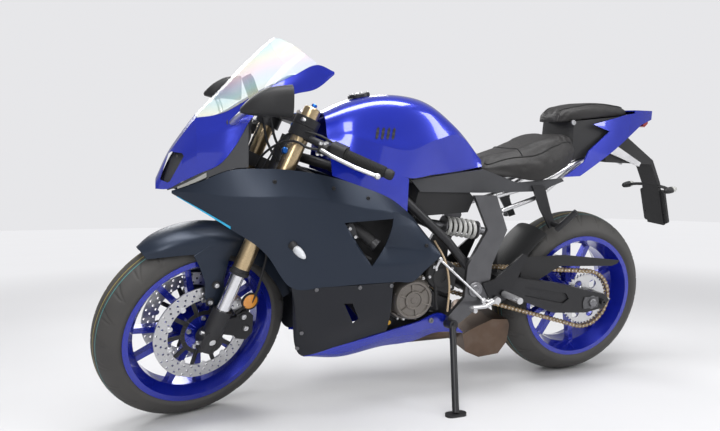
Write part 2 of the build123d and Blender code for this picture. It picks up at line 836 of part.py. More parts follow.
# Tail light between the tray's end and the cowl's tip
with BuildPart() as tail_light:
    with BuildSketch(side):
        with BuildLine():
            Polyline((-262 - seat_gap, 1000), (-262 - seat_gap, 962), (-270, 958), (-284, 972), (-284, 980),
                     (-276 + seat_gap, 983), (-276 + seat_gap, 1000), close=True)
        make_face()
    extrude(amount=32, both=True)
keep("tail_light", "chassis", tail_light.part)

# Side covers under the tank and seat
side_cover_outline = [(735, 760), (620, 776), (475, 796), (341, 752), (160, 768), (150, 758), (250, 722),
                      (480, 718), (700, 722)]
side_cover_inner = 113
side_cover_outer = 119
keep("side_covers", "chassis", both_sides(slab(side_cover_outline, side_cover_inner, side_cover_outer)))

# Airbox under the tank, as wide as the spars leave room for
spar_radius = 15
spar_y = 128
spar_end_y = chain_line + chain_width / 2 + 2 + spar_radius
front_tube_radius = 12
front_tube_y = 121
plate_face = spar_end_y + spar_radius
with BuildPart() as airbox:
    with BuildSketch(side):
        with BuildLine():
            Polyline((724, 640), (700, 740), (560, 760), (500, 700), (520, 652), close=True)
        make_face()
    extrude(amount=spar_y - spar_radius - seat_gap, both=True)
keep("airbox", "chassis", airbox.part)

# Engine: crankcase and forward-leaning cylinders in one block
case_outline = [(560, 470), (600, 500), (700, 500), (860, 470), (890, 400), (880, 300), (820, 250), (600, 240),
                (560, 290)]
cylinder_outline = [(720, 490), (790, 640), (840, 672), (960, 620), (968, 560), (890, 450)]
case_half = 113.7
cylinder_half = front_tube_y - front_tube_radius - seat_gap
with BuildPart() as engine_block:
    with BuildSketch(side):
        with BuildLine():
            Polyline(*case_outline, close=True)
        make_face()
    extrude(amount=case_half, both=True)
    with BuildSketch(side):
        with BuildLine():
            Polyline(*cylinder_outline, close=True)
        make_face()
    extrude(amount=cylinder_half, both=True)
    with BuildSketch(side.offset(-(chain_line - chain_width / 2 - 6))):
        with Locations(output_shaft):
            Circle(front_pitch_radius + chain_height)
        with BuildLine():
            Polyline((540, 340), (612, 370), (612, 500), (540, 500), close=True)
        make_face()
    extrude(amount=-60, mode=Mode.SUBTRACT)
    with BuildSketch(side.offset(-60)):
        with Locations(output_shaft):
            Circle(14)
    extrude(amount=60 - chain_line - sprocket_thickness)
    with BuildSketch(side.offset(-chain_line + sprocket_thickness / 2)):
        with Locations(output_shaft):
            Circle(front_pitch_radius - chain_height / 2 - seat_gap)
    extrude(amount=-sprocket_thickness)
keep("engine_block", "chassis", engine_block.part)

# Engine covers: generator and sprocket covers on the left, the clutch cover on the right
# Round cover columns: x, z, side, radius, depth
round_covers = [(730, 381, 1, 74, 62), (690, 385, -1, 78, 56)]
cover_rim = 6
cover_boss = 20
cover_ribs = 3
cover_rise = 4
cover_lugs = 7
cover_lug = 8
cover_lug_height = 22
cover_inner = chain_line + chain_width / 2 + chain_clearance
with BuildPart() as engine_covers:
    for x, z, outward, radius, depth in round_covers:
        face = Plane(origin=(x, outward * (case_half + seat_gap), z), x_dir=(1, 0, 0), z_dir=(0, outward, 0))
        with BuildSketch(face):
            Circle(radius)
        extrude(amount=depth, taper=4)
        with BuildSketch(face.offset(depth)):
            Circle(radius - cover_rim - 6)
            Circle(radius - 2 * cover_rim - 6, mode=Mode.SUBTRACT)
            Circle(cover_boss)
            with PolarLocations(radius / 2, cover_ribs, start_angle=30):
                Rectangle(radius - 2 * cover_rim, cover_rim)
        extrude(amount=cover_rise)
        with BuildSketch(face):
            with PolarLocations(radius + 2, cover_lugs, start_angle=180 / cover_lugs):
                Circle(cover_lug)
        extrude(amount=cover_lug_height)
    add(slab([(568, 396), (600, 382), (640, 400), (676, 446), (658, 492), (590, 492), (562, 460)],
             cover_inner, cover_inner + 22))
    for x, z in ((668, 456), (648, 482)):
        add(rod((x, case_half + seat_gap, z), (x, cover_inner + 4, z), 7))
keep("engine_covers", "chassis", engine_covers.part)

# Dash behind the screen
keep("dash", "chassis", slab([(1206, 990), (1232, 1062), (1246, 1056), (1218, 982)], -62, 62))


# Frame: head tube, twin spars and front stay
with BuildPart() as frame:
    head_from = lower_clamp_at + lower_clamp_height + 5
    head_to = clip_at - 5
    with BuildSketch(leg_plane(head_from, 0)):
        with Locations((-fork_offset, 0)):
            Circle(head_tube_radius)
    extrude(amount=head_to - head_from)
    for flank in (1, -1):
        add(tube([(1106, flank * 18, 830), (960, flank * 112, 790), (760, flank * spar_y, 700),
                  (600, flank * spar_end_y, 560), (520, flank * spar_end_y, 470)],
                 spar_radius, [60, 80, 80]))
        add(tube([(1112, flank * 16, 800), (1000, flank * front_tube_y, 740), (930, flank * front_tube_y, 600)],
                 front_tube_radius, 60))
        add(rod((962, flank * 112, 665), (975, flank * 205, 672), 8))
    add(rod((652, -spar_y, 608), (652, spar_y, 608), 11))
    add(slab([(1160, 772), (1250, 800), (1350 - seat_gap, 770), (1350 - seat_gap, 806), (1262, 836), (1236, 978),
              (1212, 985), (1236, 840), (1160, 806)], -12, 12))
    with BuildSketch(leg_plane(head_from - 50, 0)):
        with Locations((-fork_offset, 0)):
            Circle(stem_radius + head_clearance)
    extrude(amount=head_to - head_from + 100, mode=Mode.SUBTRACT)
    for cutter in ("side_fairings", "dash"):
        add(pieces[cutter][1], mode=Mode.SUBTRACT)
keep("frame", "chassis", largest(frame.part, 1))

# Pivot plates either side of the swingarm pivot
plate_outline = [(528, 714), (446, 714), (396, 598), (444, 482), (450, 360), (560, 280), (600, 280), (596, 312),
                 (540, 372), (536, 480), (470, 600)]
keep("pivot_plates", "chassis", both_sides(slab(plate_outline, plate_face, plate_face + plate_thickness)))

# Subframe: an upper and a lower rail each side, with an arm back to the plate holder
bracket_inner = plate_holder_half + seat_gap
bracket_outline = [(-78, 888), (-98, 858), (-250, 808), (-258, 822), (-100, 900)]
with BuildPart() as subframe:
    add(tube([(486, plate_face + 4, 690), (446, 106, 696), (260, 101, 742.7), (40, 78, 838)], 9, [20, 200]))
    add(tube([(430, plate_face + 4, 640), (392, 106, 652), (240, 102, 700), (60, 80, 822)], 8, [20, 200]))
    add(slab(bracket_outline, bracket_inner, bracket_inner + plate_bracket))
    add(undertray, mode=Mode.SUBTRACT)
    add(pieces["pivot_plates"][1], mode=Mode.SUBTRACT)
    mirror(about=Plane.XZ)
keep("subframe", "chassis", largest(subframe.part, 6))
rider_seat = clear_of(cushion(rider_rows), subframe.part, pieces["side_covers"][1])
keep("rider_seat", "chassis", largest(rider_seat, 1))

# Swingarm: pivot tube, beam through the chain loop, bridge and outboard arms
arm_outline = [(400, 430), (326, 424), *hind_from([(135, 389), (-60, 340), (-78, 318), (-60, 290), (23, 276),
                                                   (166, 286)]), (327, 349), (400, 365)]
arm_pocket = [(296, 392), *hind_from([(120, 356), (104, 334), (128, 318)]), (290, 356)]
with BuildPart() as swingarm:
    add(slab(arm_outline, arm_inner, arm_outer))
    add(slab(arm_outline, -arm_outer, -arm_inner))
    add(slab([(400, 428), (340, 420), (340, 358), (400, 368)], -arm_outer, arm_outer))
    add(slab([(520, 420), (390, 428), (390, 368), (520, 378)], -84, 84))
    add(rod((swing_pivot[0], seat_gap - plate_face, swing_pivot[1]),
            (swing_pivot[0], plate_face - seat_gap, swing_pivot[1]), pivot_radius))
    add(slab([(400, 420), (352, 416), (364, 580), (383, 580)], 22, 58))
    for flank in (1, -1):
        add(slab(arm_pocket, flank * (arm_outer - pocket_depth), flank * (arm_outer + 1)), mode=Mode.SUBTRACT)
    add(rod((rear_axle.X, -300, rear_axle.Z), (rear_axle.X, 300, rear_axle.Z), axle_radius + axle_fit),
        mode=Mode.SUBTRACT)
keep("swingarm", "chassis", swingarm.part)

# Threaded bosses for paddock-stand spools, on the arms' outer faces
with BuildPart() as spool_bosses:
    with BuildSketch(Plane(origin=(rear_axle.X + spool_at[0], arm_outer + seat_gap, spool_at[1]), z_dir=(0, 1, 0))):
        Circle(spool_boss_radius)
        Circle(spool_radius, mode=Mode.SUBTRACT)
    extrude(amount=spool_depth)
    mirror(about=Plane.XZ)
keep("spool_bosses", "chassis", spool_bosses.part)

# Hugger ahead of the rear tyre, with the chain guard along its left edge
hugger_radius = 334
hugger_half = 92
with BuildPart() as hugger:
    with BuildSketch(radial_plane(rear_axle)):
        with BuildLine():
            ThreePointArc((-hugger_half, hugger_radius - 26), (0, hugger_radius), (hugger_half, hugger_radius - 26))
            Line((hugger_half, hugger_radius - 26), (hugger_half, hugger_radius - 26 - panel))
            ThreePointArc((hugger_half, hugger_radius - 26 - panel), (0, hugger_radius - panel),
                          (-hugger_half, hugger_radius - 26 - panel))
            Line((-hugger_half, hugger_radius - 26 - panel), (-hugger_half, hugger_radius - 26))
        make_face()
    revolve(axis=wheel_axis(rear_axle), revolution_arc=38)
hugger_top = 54
guard_outline = [(296, 488), *hind_from([(119, 491), (-133, 460), (-126, 448), (-100, 440), (135, 450)]),
                 (236, 396), (300, 396)]
guard_inner = arm_inner - panel - seat_gap
with BuildPart() as rear_guards:
    add(hugger.part.rotate(wheel_axis(rear_axle), 90 - hugger_top))
    add(slab([(316, 396), (340 - seat_gap, 392), (340 - seat_gap, 410), (312, 418)], -60, 60))
    add(slab(guard_outline, guard_inner, guard_inner + panel))
keep("rear_guards", "chassis", rear_guards.part)

# Rear shock, lying over the engine, with its spring
with BuildPart() as shock:
    add(rod((641 - seat_gap, 40, 608), (384, 40, 566), 14))
keep("shock_body", "chassis", largest(clear_of(shock.part, swingarm.part), 1))
spring_coils = 7
spring_radius = 34
spring_wire = 6
spring_pitch = 19
spring_axis = Plane(origin=(572, 40, 596.8), x_dir=(0, 1, 0), z_dir=(384 - 641, 0, 566 - 608))
with BuildPart() as shock_spring:
    with BuildSketch(spring_axis):
        Circle(spring_radius - spring_wire)
        Circle(14 + seat_gap, mode=Mode.SUBTRACT)
    extrude(amount=spring_coils * spring_pitch)
    for coil in range(spring_coils):
        with Locations(spring_axis.offset((coil + 0.5) * spring_pitch)):
            Torus(spring_radius - spring_wire, spring_wire)
keep("shock_spring", "chassis", shock_spring.part)

# Radiator behind the front wheel
with BuildPart() as radiator:
    with BuildSketch(side):
        with BuildLine():
            Polyline((1010, 430), (1046, 426), (1086, 660), (1050, 666), close=True)
        make_face()
    extrude(amount=150, both=True)
    for flank in (1, -1):
        add(rod((1060, flank * 96, 650), (996, flank * 106, 746), 8))
    add(pieces["frame"][1], mode=Mode.SUBTRACT)
keep("radiator", "chassis", largest(radiator.part, 1))

# Exhaust: two header pipes into one muffler box under the engine
muffler_half = 100
muffler_outline = [(500, 216), (456, 236), (384, 262), (322, 256), (312, 236), (318, 172), (350, 130), (430, 124),
                   (484, 150)]
with BuildPart() as exhaust:
    for flank in (1, -1):
        add(tube([(958, flank * 55, 592), (986, flank * 55, 562), (970, flank * 52, 300), (890, flank * 45, 204),
                  (470, flank * 28, 196)], 20, [24, 90, 70]))
    add(slab(muffler_outline, -muffler_half, muffler_half))
    add(rod((420, -80, 205), (372, -166, 222), 30))
    add(pieces["engine_block"][1], mode=Mode.SUBTRACT)
keep("exhaust", "chassis", exhaust.part)

# Plate holder under the tail, ending in a pad with two holes
plate_pad = Plane(origin=(-408, 0, 650), x_dir=(0, 1, 0), z_dir=(-0.949, 0, 0.315))
with BuildPart() as plate_holder:
    with BuildSketch(side):
        with BuildLine():
            Polyline((-76, 900), (-150, 940), (-324, 832), (-374, 745), (-430, 576), (-420, 572), (-364, 736),
                     (-318, 816), (-96, 822), close=True)
        make_face()
    extrude(amount=plate_holder_half, both=True)
    add(undertray, mode=Mode.SUBTRACT)
    with BuildSketch(plate_pad):
        RectangleRounded(plate_pad_width, plate_pad_height, 10)
    extrude(amount=-10)
    with BuildSketch(plate_pad):
        with Locations((plate_hole_spacing / 2, plate_hole_rise), (-plate_hole_spacing / 2, plate_hole_rise)):
            Circle(plate_hole_radius)
    extrude(amount=-10, mode=Mode.SUBTRACT)
keep("plate_holder", "chassis", plate_holder.part)

# Side stand, on a bracket under the left pivot plate; the foot lies flat on the ground
ground_tilt = 0.0
crown_front = ((front_tyre_width / 2) ** 2 + front_shoulder_drop ** 2) / (2 * front_shoulder_drop)
crown_rear = ((rear_tyre_width / 2) ** 2 + rear_shoulder_drop ** 2) / (2 * rear_shoulder_drop)


def turned(vector, angle):
    spin = Vector(-rake_sin, 0, rake_cos)
    return (vector * cos(angle) + spin.cross(vector) * sin(angle)
            + spin * spin.dot(vector) * (1 - cos(angle)))


steer_foot = Vector(front_axle_x + trail, 0, 0)
steered_centre = steer_foot + turned(front_axle - steer_foot, radians(steer_stop))
steered_spindle = turned(Vector(0, 1, 0), radians(steer_stop))


def clearance(up, centre, spindle, radius, crown):
    return up.dot(centre) - (radius - crown) * sqrt(1 - up.dot(spindle) ** 2) - crown


for step in range(6):
    up = Vector(sin(ground_tilt), -sin(radians(lean)) * cos(ground_tilt), cos(radians(lean)) * cos(ground_tilt))
    front_low = clearance(up, steered_centre, steered_spindle, front_tyre_radius, crown_front)
    rear_low = clearance(up, rear_axle, Vector(0, 1, 0), rear_tyre_radius, crown_rear)
    ground_tilt -= (front_low - rear_low) / wheelbase
ground = Plane(origin=up * rear_low, x_dir=(cos(ground_tilt), 0, -sin(ground_tilt) / up.Z * cos(ground_tilt)),
               z_dir=up)

foot_z = (rear_low - up.X * stand_foot[0] - up.Y * stand_foot[1]) / up.Z
foot = Vector(stand_foot[0], stand_foot[1], foot_z)
hinge = Vector(*stand_pivot)
leg_run = (foot - hinge).normalized()
stand_stowed = Vector(-0.985, 0.17, 0.03).normalized()
swing = leg_run - stand_stowed
stand_spin = Vector(-(0.2 * swing.Z + swing.Y) / swing.X, 1, 0.2).normalized()
foot_plane = Plane(origin=foot, x_dir=(1, 0, -up.X / up.Z), z_dir=up)
with BuildPart() as side_stand:
    add(rod(hinge + leg_run * 6, foot + up * 8, stand_tube))
    with BuildSketch(foot_plane):
        SlotOverall(70, 36)
    extrude(amount=8)
    with BuildSketch(Plane(origin=hinge - stand_spin * 8, z_dir=stand_spin)):
        Circle(16)
    extrude(amount=16)
    with BuildSketch(Plane(origin=hinge - stand_spin * 50, z_dir=stand_spin)):
        Circle(stand_pin + axle_fit)
    extrude(amount=100, mode=Mode.SUBTRACT)
keep("side_stand", "side_stand", side_stand.part)

# Stand bracket: a block on the pivot plate that holds the stand's pin
with BuildPart() as stand_bracket:
    with BuildSketch(Plane(origin=hinge - stand_spin * 9, z_dir=-stand_spin)):
        Circle(15)
    extrude(amount=24)
    with BuildSketch(Plane(origin=hinge - stand_spin * 10, z_dir=stand_spin)):
        Circle(stand_pin)
    extrude(amount=22)
    add(pieces["pivot_plates"][1], mode=Mode.SUBTRACT)
keep("stand_bracket", "chassis", left_of(stand_bracket.part))

# Mirrors on stalks from the cowl wings: head columns x, middle y, middle z, width, height
mirror_rows = [(1286, 292, 952, 26, 14), (1262, 296, 962, 72, 44), (1222, 302, 974, 100, 70), (1164, 304, 978, 108, 84)]
# Columns: flank, head's shift ahead and up
mirror_heads = [(1, 0, 0), (-1, 60, 62)]
with BuildPart() as mirror_pair:
    for flank, shift, rise in mirror_heads:
        with BuildPart() as mirror_head:
            for x, y, z, width, height in mirror_rows:
                with BuildSketch(cross_plane(x + shift)):
                    with Locations((flank * y, z + rise)):
                        RectangleRounded(width, height, height * 0.4)
            loft()
            add(rod((1292, flank * 128, 918), (1252 + shift, flank * 282, 960 + rise), 9))
            add(front_cowl.part, mode=Mode.SUBTRACT)
        add(largest(mirror_head.part, 1))
keep("mirrors", "chassis", mirror_pair.part)

# Running lights under the cowl: columns x, then top edge and low edge
running_rows = [(1440, 82, 735, 82, 729), (1400, 106, 757, 107, 747), (1362, 126, 780, 126, 767)]
with BuildPart() as running_lights:
    add(strip(running_rows, 12))
    for cutter in ("inner_cowl", "front_cowl", "side_fairings"):
        add(pieces[cutter][1], mode=Mode.SUBTRACT)
with BuildPart() as front_lamps:
    add(left_of(running_lights.part))
    mirror(about=Plane.XZ)
    add(headlight.part)
keep("front_lamps", "chassis", front_lamps.part)

# Turn signals on stalks, at the fairings and at the plate holder
with BuildPart() as turn_signals:
    add(rod((1122, 190, 582), (1118, 254, 564), 7))
    add(rod((1150, 256, 566), (1086, 256, 560), 13))
    add(rod((-372, 36, 732), (-362, 100, 724), 6))
    add(rod((-388, 104, 728), (-332, 104, 718), 12))
    for cutter in ("side_fairings", "plate_holder"):
        add(pieces[cutter][1], mode=Mode.SUBTRACT)
outside = turn_signals.part.solids().filter_by(lambda solid: solid.center().Y > 60)
outside = outside.filter_by(lambda solid: solid.volume > 9000)
with BuildPart() as signal_pairs:
    add(outside)
    mirror(about=Plane.XZ)
keep("turn_signals", "chassis", signal_pairs.part)

# Rearsets: heel plate and peg outside each pivot plate, with the gear lever and the brake pedal
rearset_inner = plate_face + plate_thickness + seat_gap
with BuildPart() as rearsets:
    add(slab([(480, 420), (436, 430), (330, 515), (312, 508), (372, 366), (398, 352), (440, 350)],
             rearset_inner, rearset_inner + 8))
    add(rod((398, rearset_inner, 380), (396, 268, 384), 11))
    add(tube([(428, rearset_inner + 16 + seat_gap, 362), (470, 186, 344), (536, 196, 347), (538, 236, 350)], 7,
             [20, 16]))
    add(rod((428, rearset_inner + 8 + seat_gap, 362), (428, rearset_inner + 26, 362), 12))
    mirror(about=Plane.XZ)
keep("rearsets", "chassis", rearsets.part)

# Passenger peg brackets with folded pegs
with BuildPart() as passenger_brackets:
    add(slab([(285, 742), (235, 742), (198, 650), (172, 600), (198, 592), (244, 660)],
             side_cover_outer + seat_gap, side_cover_outer + 8))
    add(rod((186, 120, 606), (186, 160, 606), 9))
    add(rod((192, 156, 592), (158, 206, 664), 10))
    mirror(about=Plane.XZ)
keep("passenger_brackets", "chassis", passenger_brackets.part)

# Rear caliper over its disc, hung from the right arm
with BuildPart() as rear_caliper:
    caliper_near = rear_disc_face - pad_gap - caliper_wall
    with BuildSketch(side.offset(arm_inner - seat_gap)):
        with BuildLine():
            Polyline(*hind_from([(78, 336), (140, 340), (132, 404), (72, 408)]), close=True)
        make_face()
    extrude(amount=caliper_near - arm_inner + seat_gap)
    with BuildSketch(side.offset(rear_disc_face + disc_thickness + pad_gap)):
        with Locations((rear_axle.X, rear_axle.Z)):
            Circle(rear_disc_radius + pad_gap)
    extrude(amount=-disc_thickness - 2 * pad_gap, mode=Mode.SUBTRACT)
keep("rear_caliper", "chassis", rear_caliper.part)

# Brake hoses from the calipers up to the lower clamp
with BuildPart() as brake_hoses:
    hose_end = fork.from_local_coords((-15, 45, lower_clamp_at - seat_gap))
    add(tube([(1268, 90, 352), (1238, 98, 430), (1212, 92, 530), fork.from_local_coords((-15, 45, 400)), hose_end],
             4, 50))
    add(front_calipers.part, mode=Mode.SUBTRACT)
    mirror(about=Plane.XZ)
keep("brake_hoses", "steering", brake_hoses.part)

# Park the bike: steer the front end, then read every piece in the ground's plane
placed = {}
for name, (body, piece) in pieces.items():
    if body in ("steering", "front_wheel"):
        piece = piece.rotate(steer_axis, steer_stop)
    placed[name] = ground.to_local_coords(piece)
box = Compound(list(placed.values())).bounding_box()
middle = Vector(-(box.min.X + box.max.X) / 2, -(box.min.Y + box.max.Y) / 2, 0)

os.makedirs("parts", exist_ok=True)
for name, piece in placed.items():
    piece = piece.moved(Location(middle))
    piece.label = name
    export_step(piece, f"parts/{name}.step")


def report(label, point, direction):
    at = ground.to_local_coords(Vector(point)) + middle
    along = ground.to_local_coords(Vector(direction) + ground.origin)
    print("axis", label, [round(v, 4) for v in at], [round(v, 6) for v in along])


report("steering", fork.from_local_coords((-fork_offset, 0, upper_clamp_at)), (-rake_sin, 0, rake_cos))
report("front_wheel", steered_centre, steered_spindle)
report("rear_wheel", rear_axle, (0, 1, 0))
report("side_stand", hinge, stand_spin)
spool_middle = arm_outer + seat_gap + spool_depth / 2
report("spool_left", (rear_axle.X + spool_at[0], spool_middle, spool_at[1]), (0, 1, 0))
report("spool_right", (rear_axle.X + spool_at[0], -spool_middle, spool_at[1]), (0, -1, 0))
report("plate_bolts", plate_pad.from_local_coords((0, plate_hole_rise, 0)), plate_pad.z_dir)
print("box", box.size)
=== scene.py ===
import json
from functools import partialmethod
import bmesh
import bpy
import numpy as np
from mathutils import Matrix, Vector


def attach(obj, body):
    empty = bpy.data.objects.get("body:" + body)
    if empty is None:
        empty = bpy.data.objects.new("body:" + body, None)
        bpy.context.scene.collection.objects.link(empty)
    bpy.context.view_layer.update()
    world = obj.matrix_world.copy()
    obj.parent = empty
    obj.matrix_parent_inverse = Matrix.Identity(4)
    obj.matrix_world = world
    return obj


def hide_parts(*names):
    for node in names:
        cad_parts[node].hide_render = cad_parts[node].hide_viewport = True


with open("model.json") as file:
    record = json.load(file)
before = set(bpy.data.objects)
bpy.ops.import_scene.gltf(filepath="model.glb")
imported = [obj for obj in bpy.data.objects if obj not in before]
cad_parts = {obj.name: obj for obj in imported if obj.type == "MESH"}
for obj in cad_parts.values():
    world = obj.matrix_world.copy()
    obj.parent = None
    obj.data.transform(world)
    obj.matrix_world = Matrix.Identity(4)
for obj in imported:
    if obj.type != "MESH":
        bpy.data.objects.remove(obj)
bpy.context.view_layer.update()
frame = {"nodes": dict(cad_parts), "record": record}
print("frame loaded:", len(frame["nodes"]), "nodes")

# where the upright bike, in millimetres, goes when it is parked
bike = dict(rearAxle=(0, 0, 315), frontAxle=(1395, 0, 300), rake=23.7, trail=90, steerStop=21)
hinges = {joint["name"]: joint for joint in frame["record"]["behaviour"]["joints"]}
rakeSin, rakeCos = np.sin(np.radians(bike["rake"])), np.cos(np.radians(bike["rake"]))
steerUp = np.array((-rakeSin, 0, rakeCos))
steerFoot = np.array((bike["frontAxle"][0] + bike["trail"], 0, 0.0))


def basis(across, up):  # three columns from two axes at right angles
    return np.stack((across, up, np.cross(across, up)), 1)


def unit(v):
    return np.asarray(v, float) / np.linalg.norm(v, axis=-1, keepdims=True)


parkTurn = basis(unit(hinges["rear_wheel_spin"]["axis"]), unit(hinges["steering"]["axis"])) \
    @ np.linalg.inv(basis((0, 1, 0), steerUp))
parkShift = np.array(hinges["rear_wheel_spin"]["pos_m"]) - parkTurn @ np.array(bike["rearAxle"]) / 1000


def spun(points, axis, foot, degrees):  # turn by Rodrigues' formula about a line
    turn = np.radians(degrees)
    v = np.asarray(points, float) - foot
    return (v * np.cos(turn) + np.cross(axis, v) * np.sin(turn)
            + axis * (v @ axis)[..., None] * (1 - np.cos(turn))) + foot


def parked(points, body="chassis"):
    points = np.asarray(points, float)
    if body in ("steering", "front_wheel"):
        points = spun(points, steerUp, steerFoot, bike["steerStop"])
    return points @ parkTurn.T / 1000 + parkShift


class Value:  # a socket that takes part in sums
    def __init__(self, finish, socket):
        self.finish, self.socket = finish, socket

    def sum(self, operation, *others):
        return self.finish.node("ShaderNodeMath", dict(operation=operation), dict(enumerate((self,) + others)))

    def __rsub__(self, other):
        return (self * -1) + other

    __add__ = __radd__ = partialmethod(sum, "ADD")
    __sub__ = partialmethod(sum, "SUBTRACT")
    __mul__ = __rmul__ = partialmethod(sum, "MULTIPLY")
    __pow__ = partialmethod(sum, "POWER")
    __gt__ = partialmethod(sum, "GREATER_THAN")
    __lt__ = partialmethod(sum, "LESS_THAN")


class Finish:  # one material and its nodes
    def __init__(self, name, base, roughness, **fixed):
        self.material = bpy.data.materials.new(name)
        self.material.use_nodes = True
        self.material.diffuse_color = (*base, 1)
        self.tree = self.material.node_tree
        self.tree.nodes.clear()
        self.surface = self.tree.nodes.new("ShaderNodeBsdfPrincipled")
        output = self.tree.nodes.new("ShaderNodeOutputMaterial")
        self.tree.links.new(self.surface.outputs[0], output.inputs[0])
        self.base = base
        self.feed("Base Color", (*base, 1))
        self.feed("Roughness", roughness)
        for key, value in fixed.items():
            self.feed(key.replace("_", " "), value)

    def join(self, socket, value):
        if isinstance(value, Value):
            self.tree.links.new(value.socket, socket)
        else:
            socket.default_value = value

    def feed(self, key, value):
        self.join(self.surface.inputs[key], value)

    def node(self, kind, settings=None, values=None, out=0):
        made = self.tree.nodes.new(kind)
        for key, value in (settings or {}).items():
            if key == "stops":
                while len(made.color_ramp.elements) < len(value):
                    made.color_ramp.elements.new(0.5)
                for element, (at, colour) in zip(made.color_ramp.elements, value):
                    element.position, element.color = at, (*colour, 1)
            else:
                setattr(made, key, value)
        for key, value in (values or {}).items():
            self.join(made.inputs[key], value)
        return Value(self, made.outputs[out])

    def place(self):
        return self.node("ShaderNodeTexCoord", out="Object")

    def noise(self, scale, detail=3, where=None):
        return self.node("ShaderNodeTexNoise", None,
                         {"Vector": where or self.place(), "Scale": scale, "Detail": detail}, "Fac")

    def part(self, key):  # one of X, Y, Z
        return self.node("ShaderNodeSeparateXYZ", None, {0: self.place()}, key)

    def mix(self, factor, a, b):
        a, b = (v if isinstance(v, Value) else (*v, 1) for v in (a, b))
        return self.node("ShaderNodeMix", dict(data_type="RGBA"), {0: factor, 6: a, 7: b}, 2)

    def ramp(self, factor, *stops):
        return self.node("ShaderNodeValToRGB", dict(stops=stops), {0: factor})

    def bump(self, height, strength, distance):
        self.feed("Normal", self.node("ShaderNodeBump", None,
                                      {"Strength": strength, "Distance": distance, "Height": height}))
        return self

    def vary(self, factor, dark, light, swing, low):  # colour and roughness follow a factor
        self.feed("Base Color", self.mix(factor, dark, light))
        self.feed("Roughness", factor * swing + low)
        return self

    def mottle(self, scale, amount, rough, wander):  # both wander with a noise
        dark, light = ([min(1, c * k) for c in self.base] for k in (1 - amount, 1 + amount))
        return self.vary(self.noise(scale), dark, light, 2 * wander, rough - wander)


def paintBlue():
    made = Finish("gloss_blue_paint", (0.004, 0.016, 0.46), 0.22,
                  Metallic=0.45, Coat_Weight=1.0, Coat_Roughness=0.04)
    flake = made.noise(2600, 1)
    under = made.mix(made.noise(3.2, 2), (0.003, 0.010, 0.27), (0.005, 0.018, 0.43))
    made.feed("Base Color", made.mix((flake > 0.62) * 0.25, under, (0.03, 0.12, 0.9)))
    made.feed("Roughness", flake * 0.1 + 0.2)
    return made


def wheelBlue():
    made = Finish("wheel_blue_paint", (0.008, 0.018, 0.40), 0.26,
                  Metallic=0.5, Coat_Weight=0.9, Coat_Roughness=0.06)
    flake = made.noise(2400, 1)
    made.feed("Base Color", made.mix((flake > 0.6) * 0.3, (0.006, 0.013, 0.29), (0.03, 0.09, 0.8)))
    made.feed("Roughness", flake * 0.12 + 0.2)
    return made


def navySatin():
    made = Finish("navy_satin_paint", (0.016, 0.024, 0.042), 0.42,
                  Metallic=0.55, Coat_Weight=0.12, Coat_Roughness=0.3)
    flake = made.noise(1900, 1)
    made.vary(flake, dark=(0.008, 0.013, 0.025), light=(0.018, 0.028, 0.048), swing=0.14, low=0.35)
    return made.bump(flake, 0.06, 0.0004)


def grained(name, base, rough, scale=900, depth=0.25):  # moulded plastic with a fine grain
    made = Finish(name, base, rough, Specular_IOR_Level=0.28)
    grain = made.node("ShaderNodeTexVoronoi", None, {"Vector": made.place(), "Scale": scale})
    return made.mottle(14, 0.18, rough, 0.05).bump(grain, depth, 0.0005)


def castMetal(name, base, rough, scale=520, metallic=0.85, depth=0.12):  # blasted or cast metal
    made = Finish(name, base, rough, Metallic=metallic)
    return made.mottle(22, 0.16, rough, 0.06).bump(made.noise(scale, 4), depth, 0.0006)


def ground(name, base, rough, stretch):  # metal ground along one axis
    made = Finish(name, base, rough, Metallic=1.0)
    lines = made.noise(120, 2, made.node("ShaderNodeMapping", None, {"Vector": made.place(), "Scale": stretch}))
    dark, light = ([min(1, c * k) for c in base] for k in (0.82, 1.1))
    return made.vary(lines, dark, light, swing=0.16, low=rough - 0.08).bump(lines, 0.05, 0.0003)


def glowPlain(name, base, rough, coat=0.3, shine=0.5):  # smooth moulded part with a slight orange peel
    made = Finish(name, base, rough, Coat_Weight=coat, Specular_IOR_Level=shine)
    return made.mottle(16, 0.1, rough, 0.04).bump(made.noise(160, 2), 0.03, 0.0005)


def lens(name, base, alpha, scale=260):  # clear plastic with fine flutes
    made = Finish(name, base, 0.08, Coat_Weight=0.6, IOR=1.49, Alpha=alpha)
    flutes = made.node("ShaderNodeTexWave", dict(bands_direction="Y"), {"Vector": made.place(), "Scale": scale})
    return made.mottle(40, 0.12, 0.1, 0.03).bump(flutes, 0.15, 0.0004)


def tyreRubber():
    made = Finish("tyre_rubber", (0.030, 0.029, 0.028), 0.72)
    made.vary(made.noise(9, 4), dark=(0.022, 0.021, 0.021), light=(0.055, 0.052, 0.048), swing=0.2, low=0.58)
    return made.bump(made.noise(700, 3), 0.2, 0.0005)


def seatVinyl():
    made = Finish("seat_vinyl", (0.016, 0.015, 0.015), 0.5, Specular_IOR_Level=0.32)
    cells = made.node("ShaderNodeTexVoronoi", dict(feature="DISTANCE_TO_EDGE"),
                      {"Vector": made.place(), "Scale": 420})
    relief = made.node("ShaderNodeMapRange", None, {0: cells, 1: 0.0, 2: 0.25})
    return made.mottle(7, 0.25, 0.5, 0.07).bump(relief, 0.35, 0.0006)


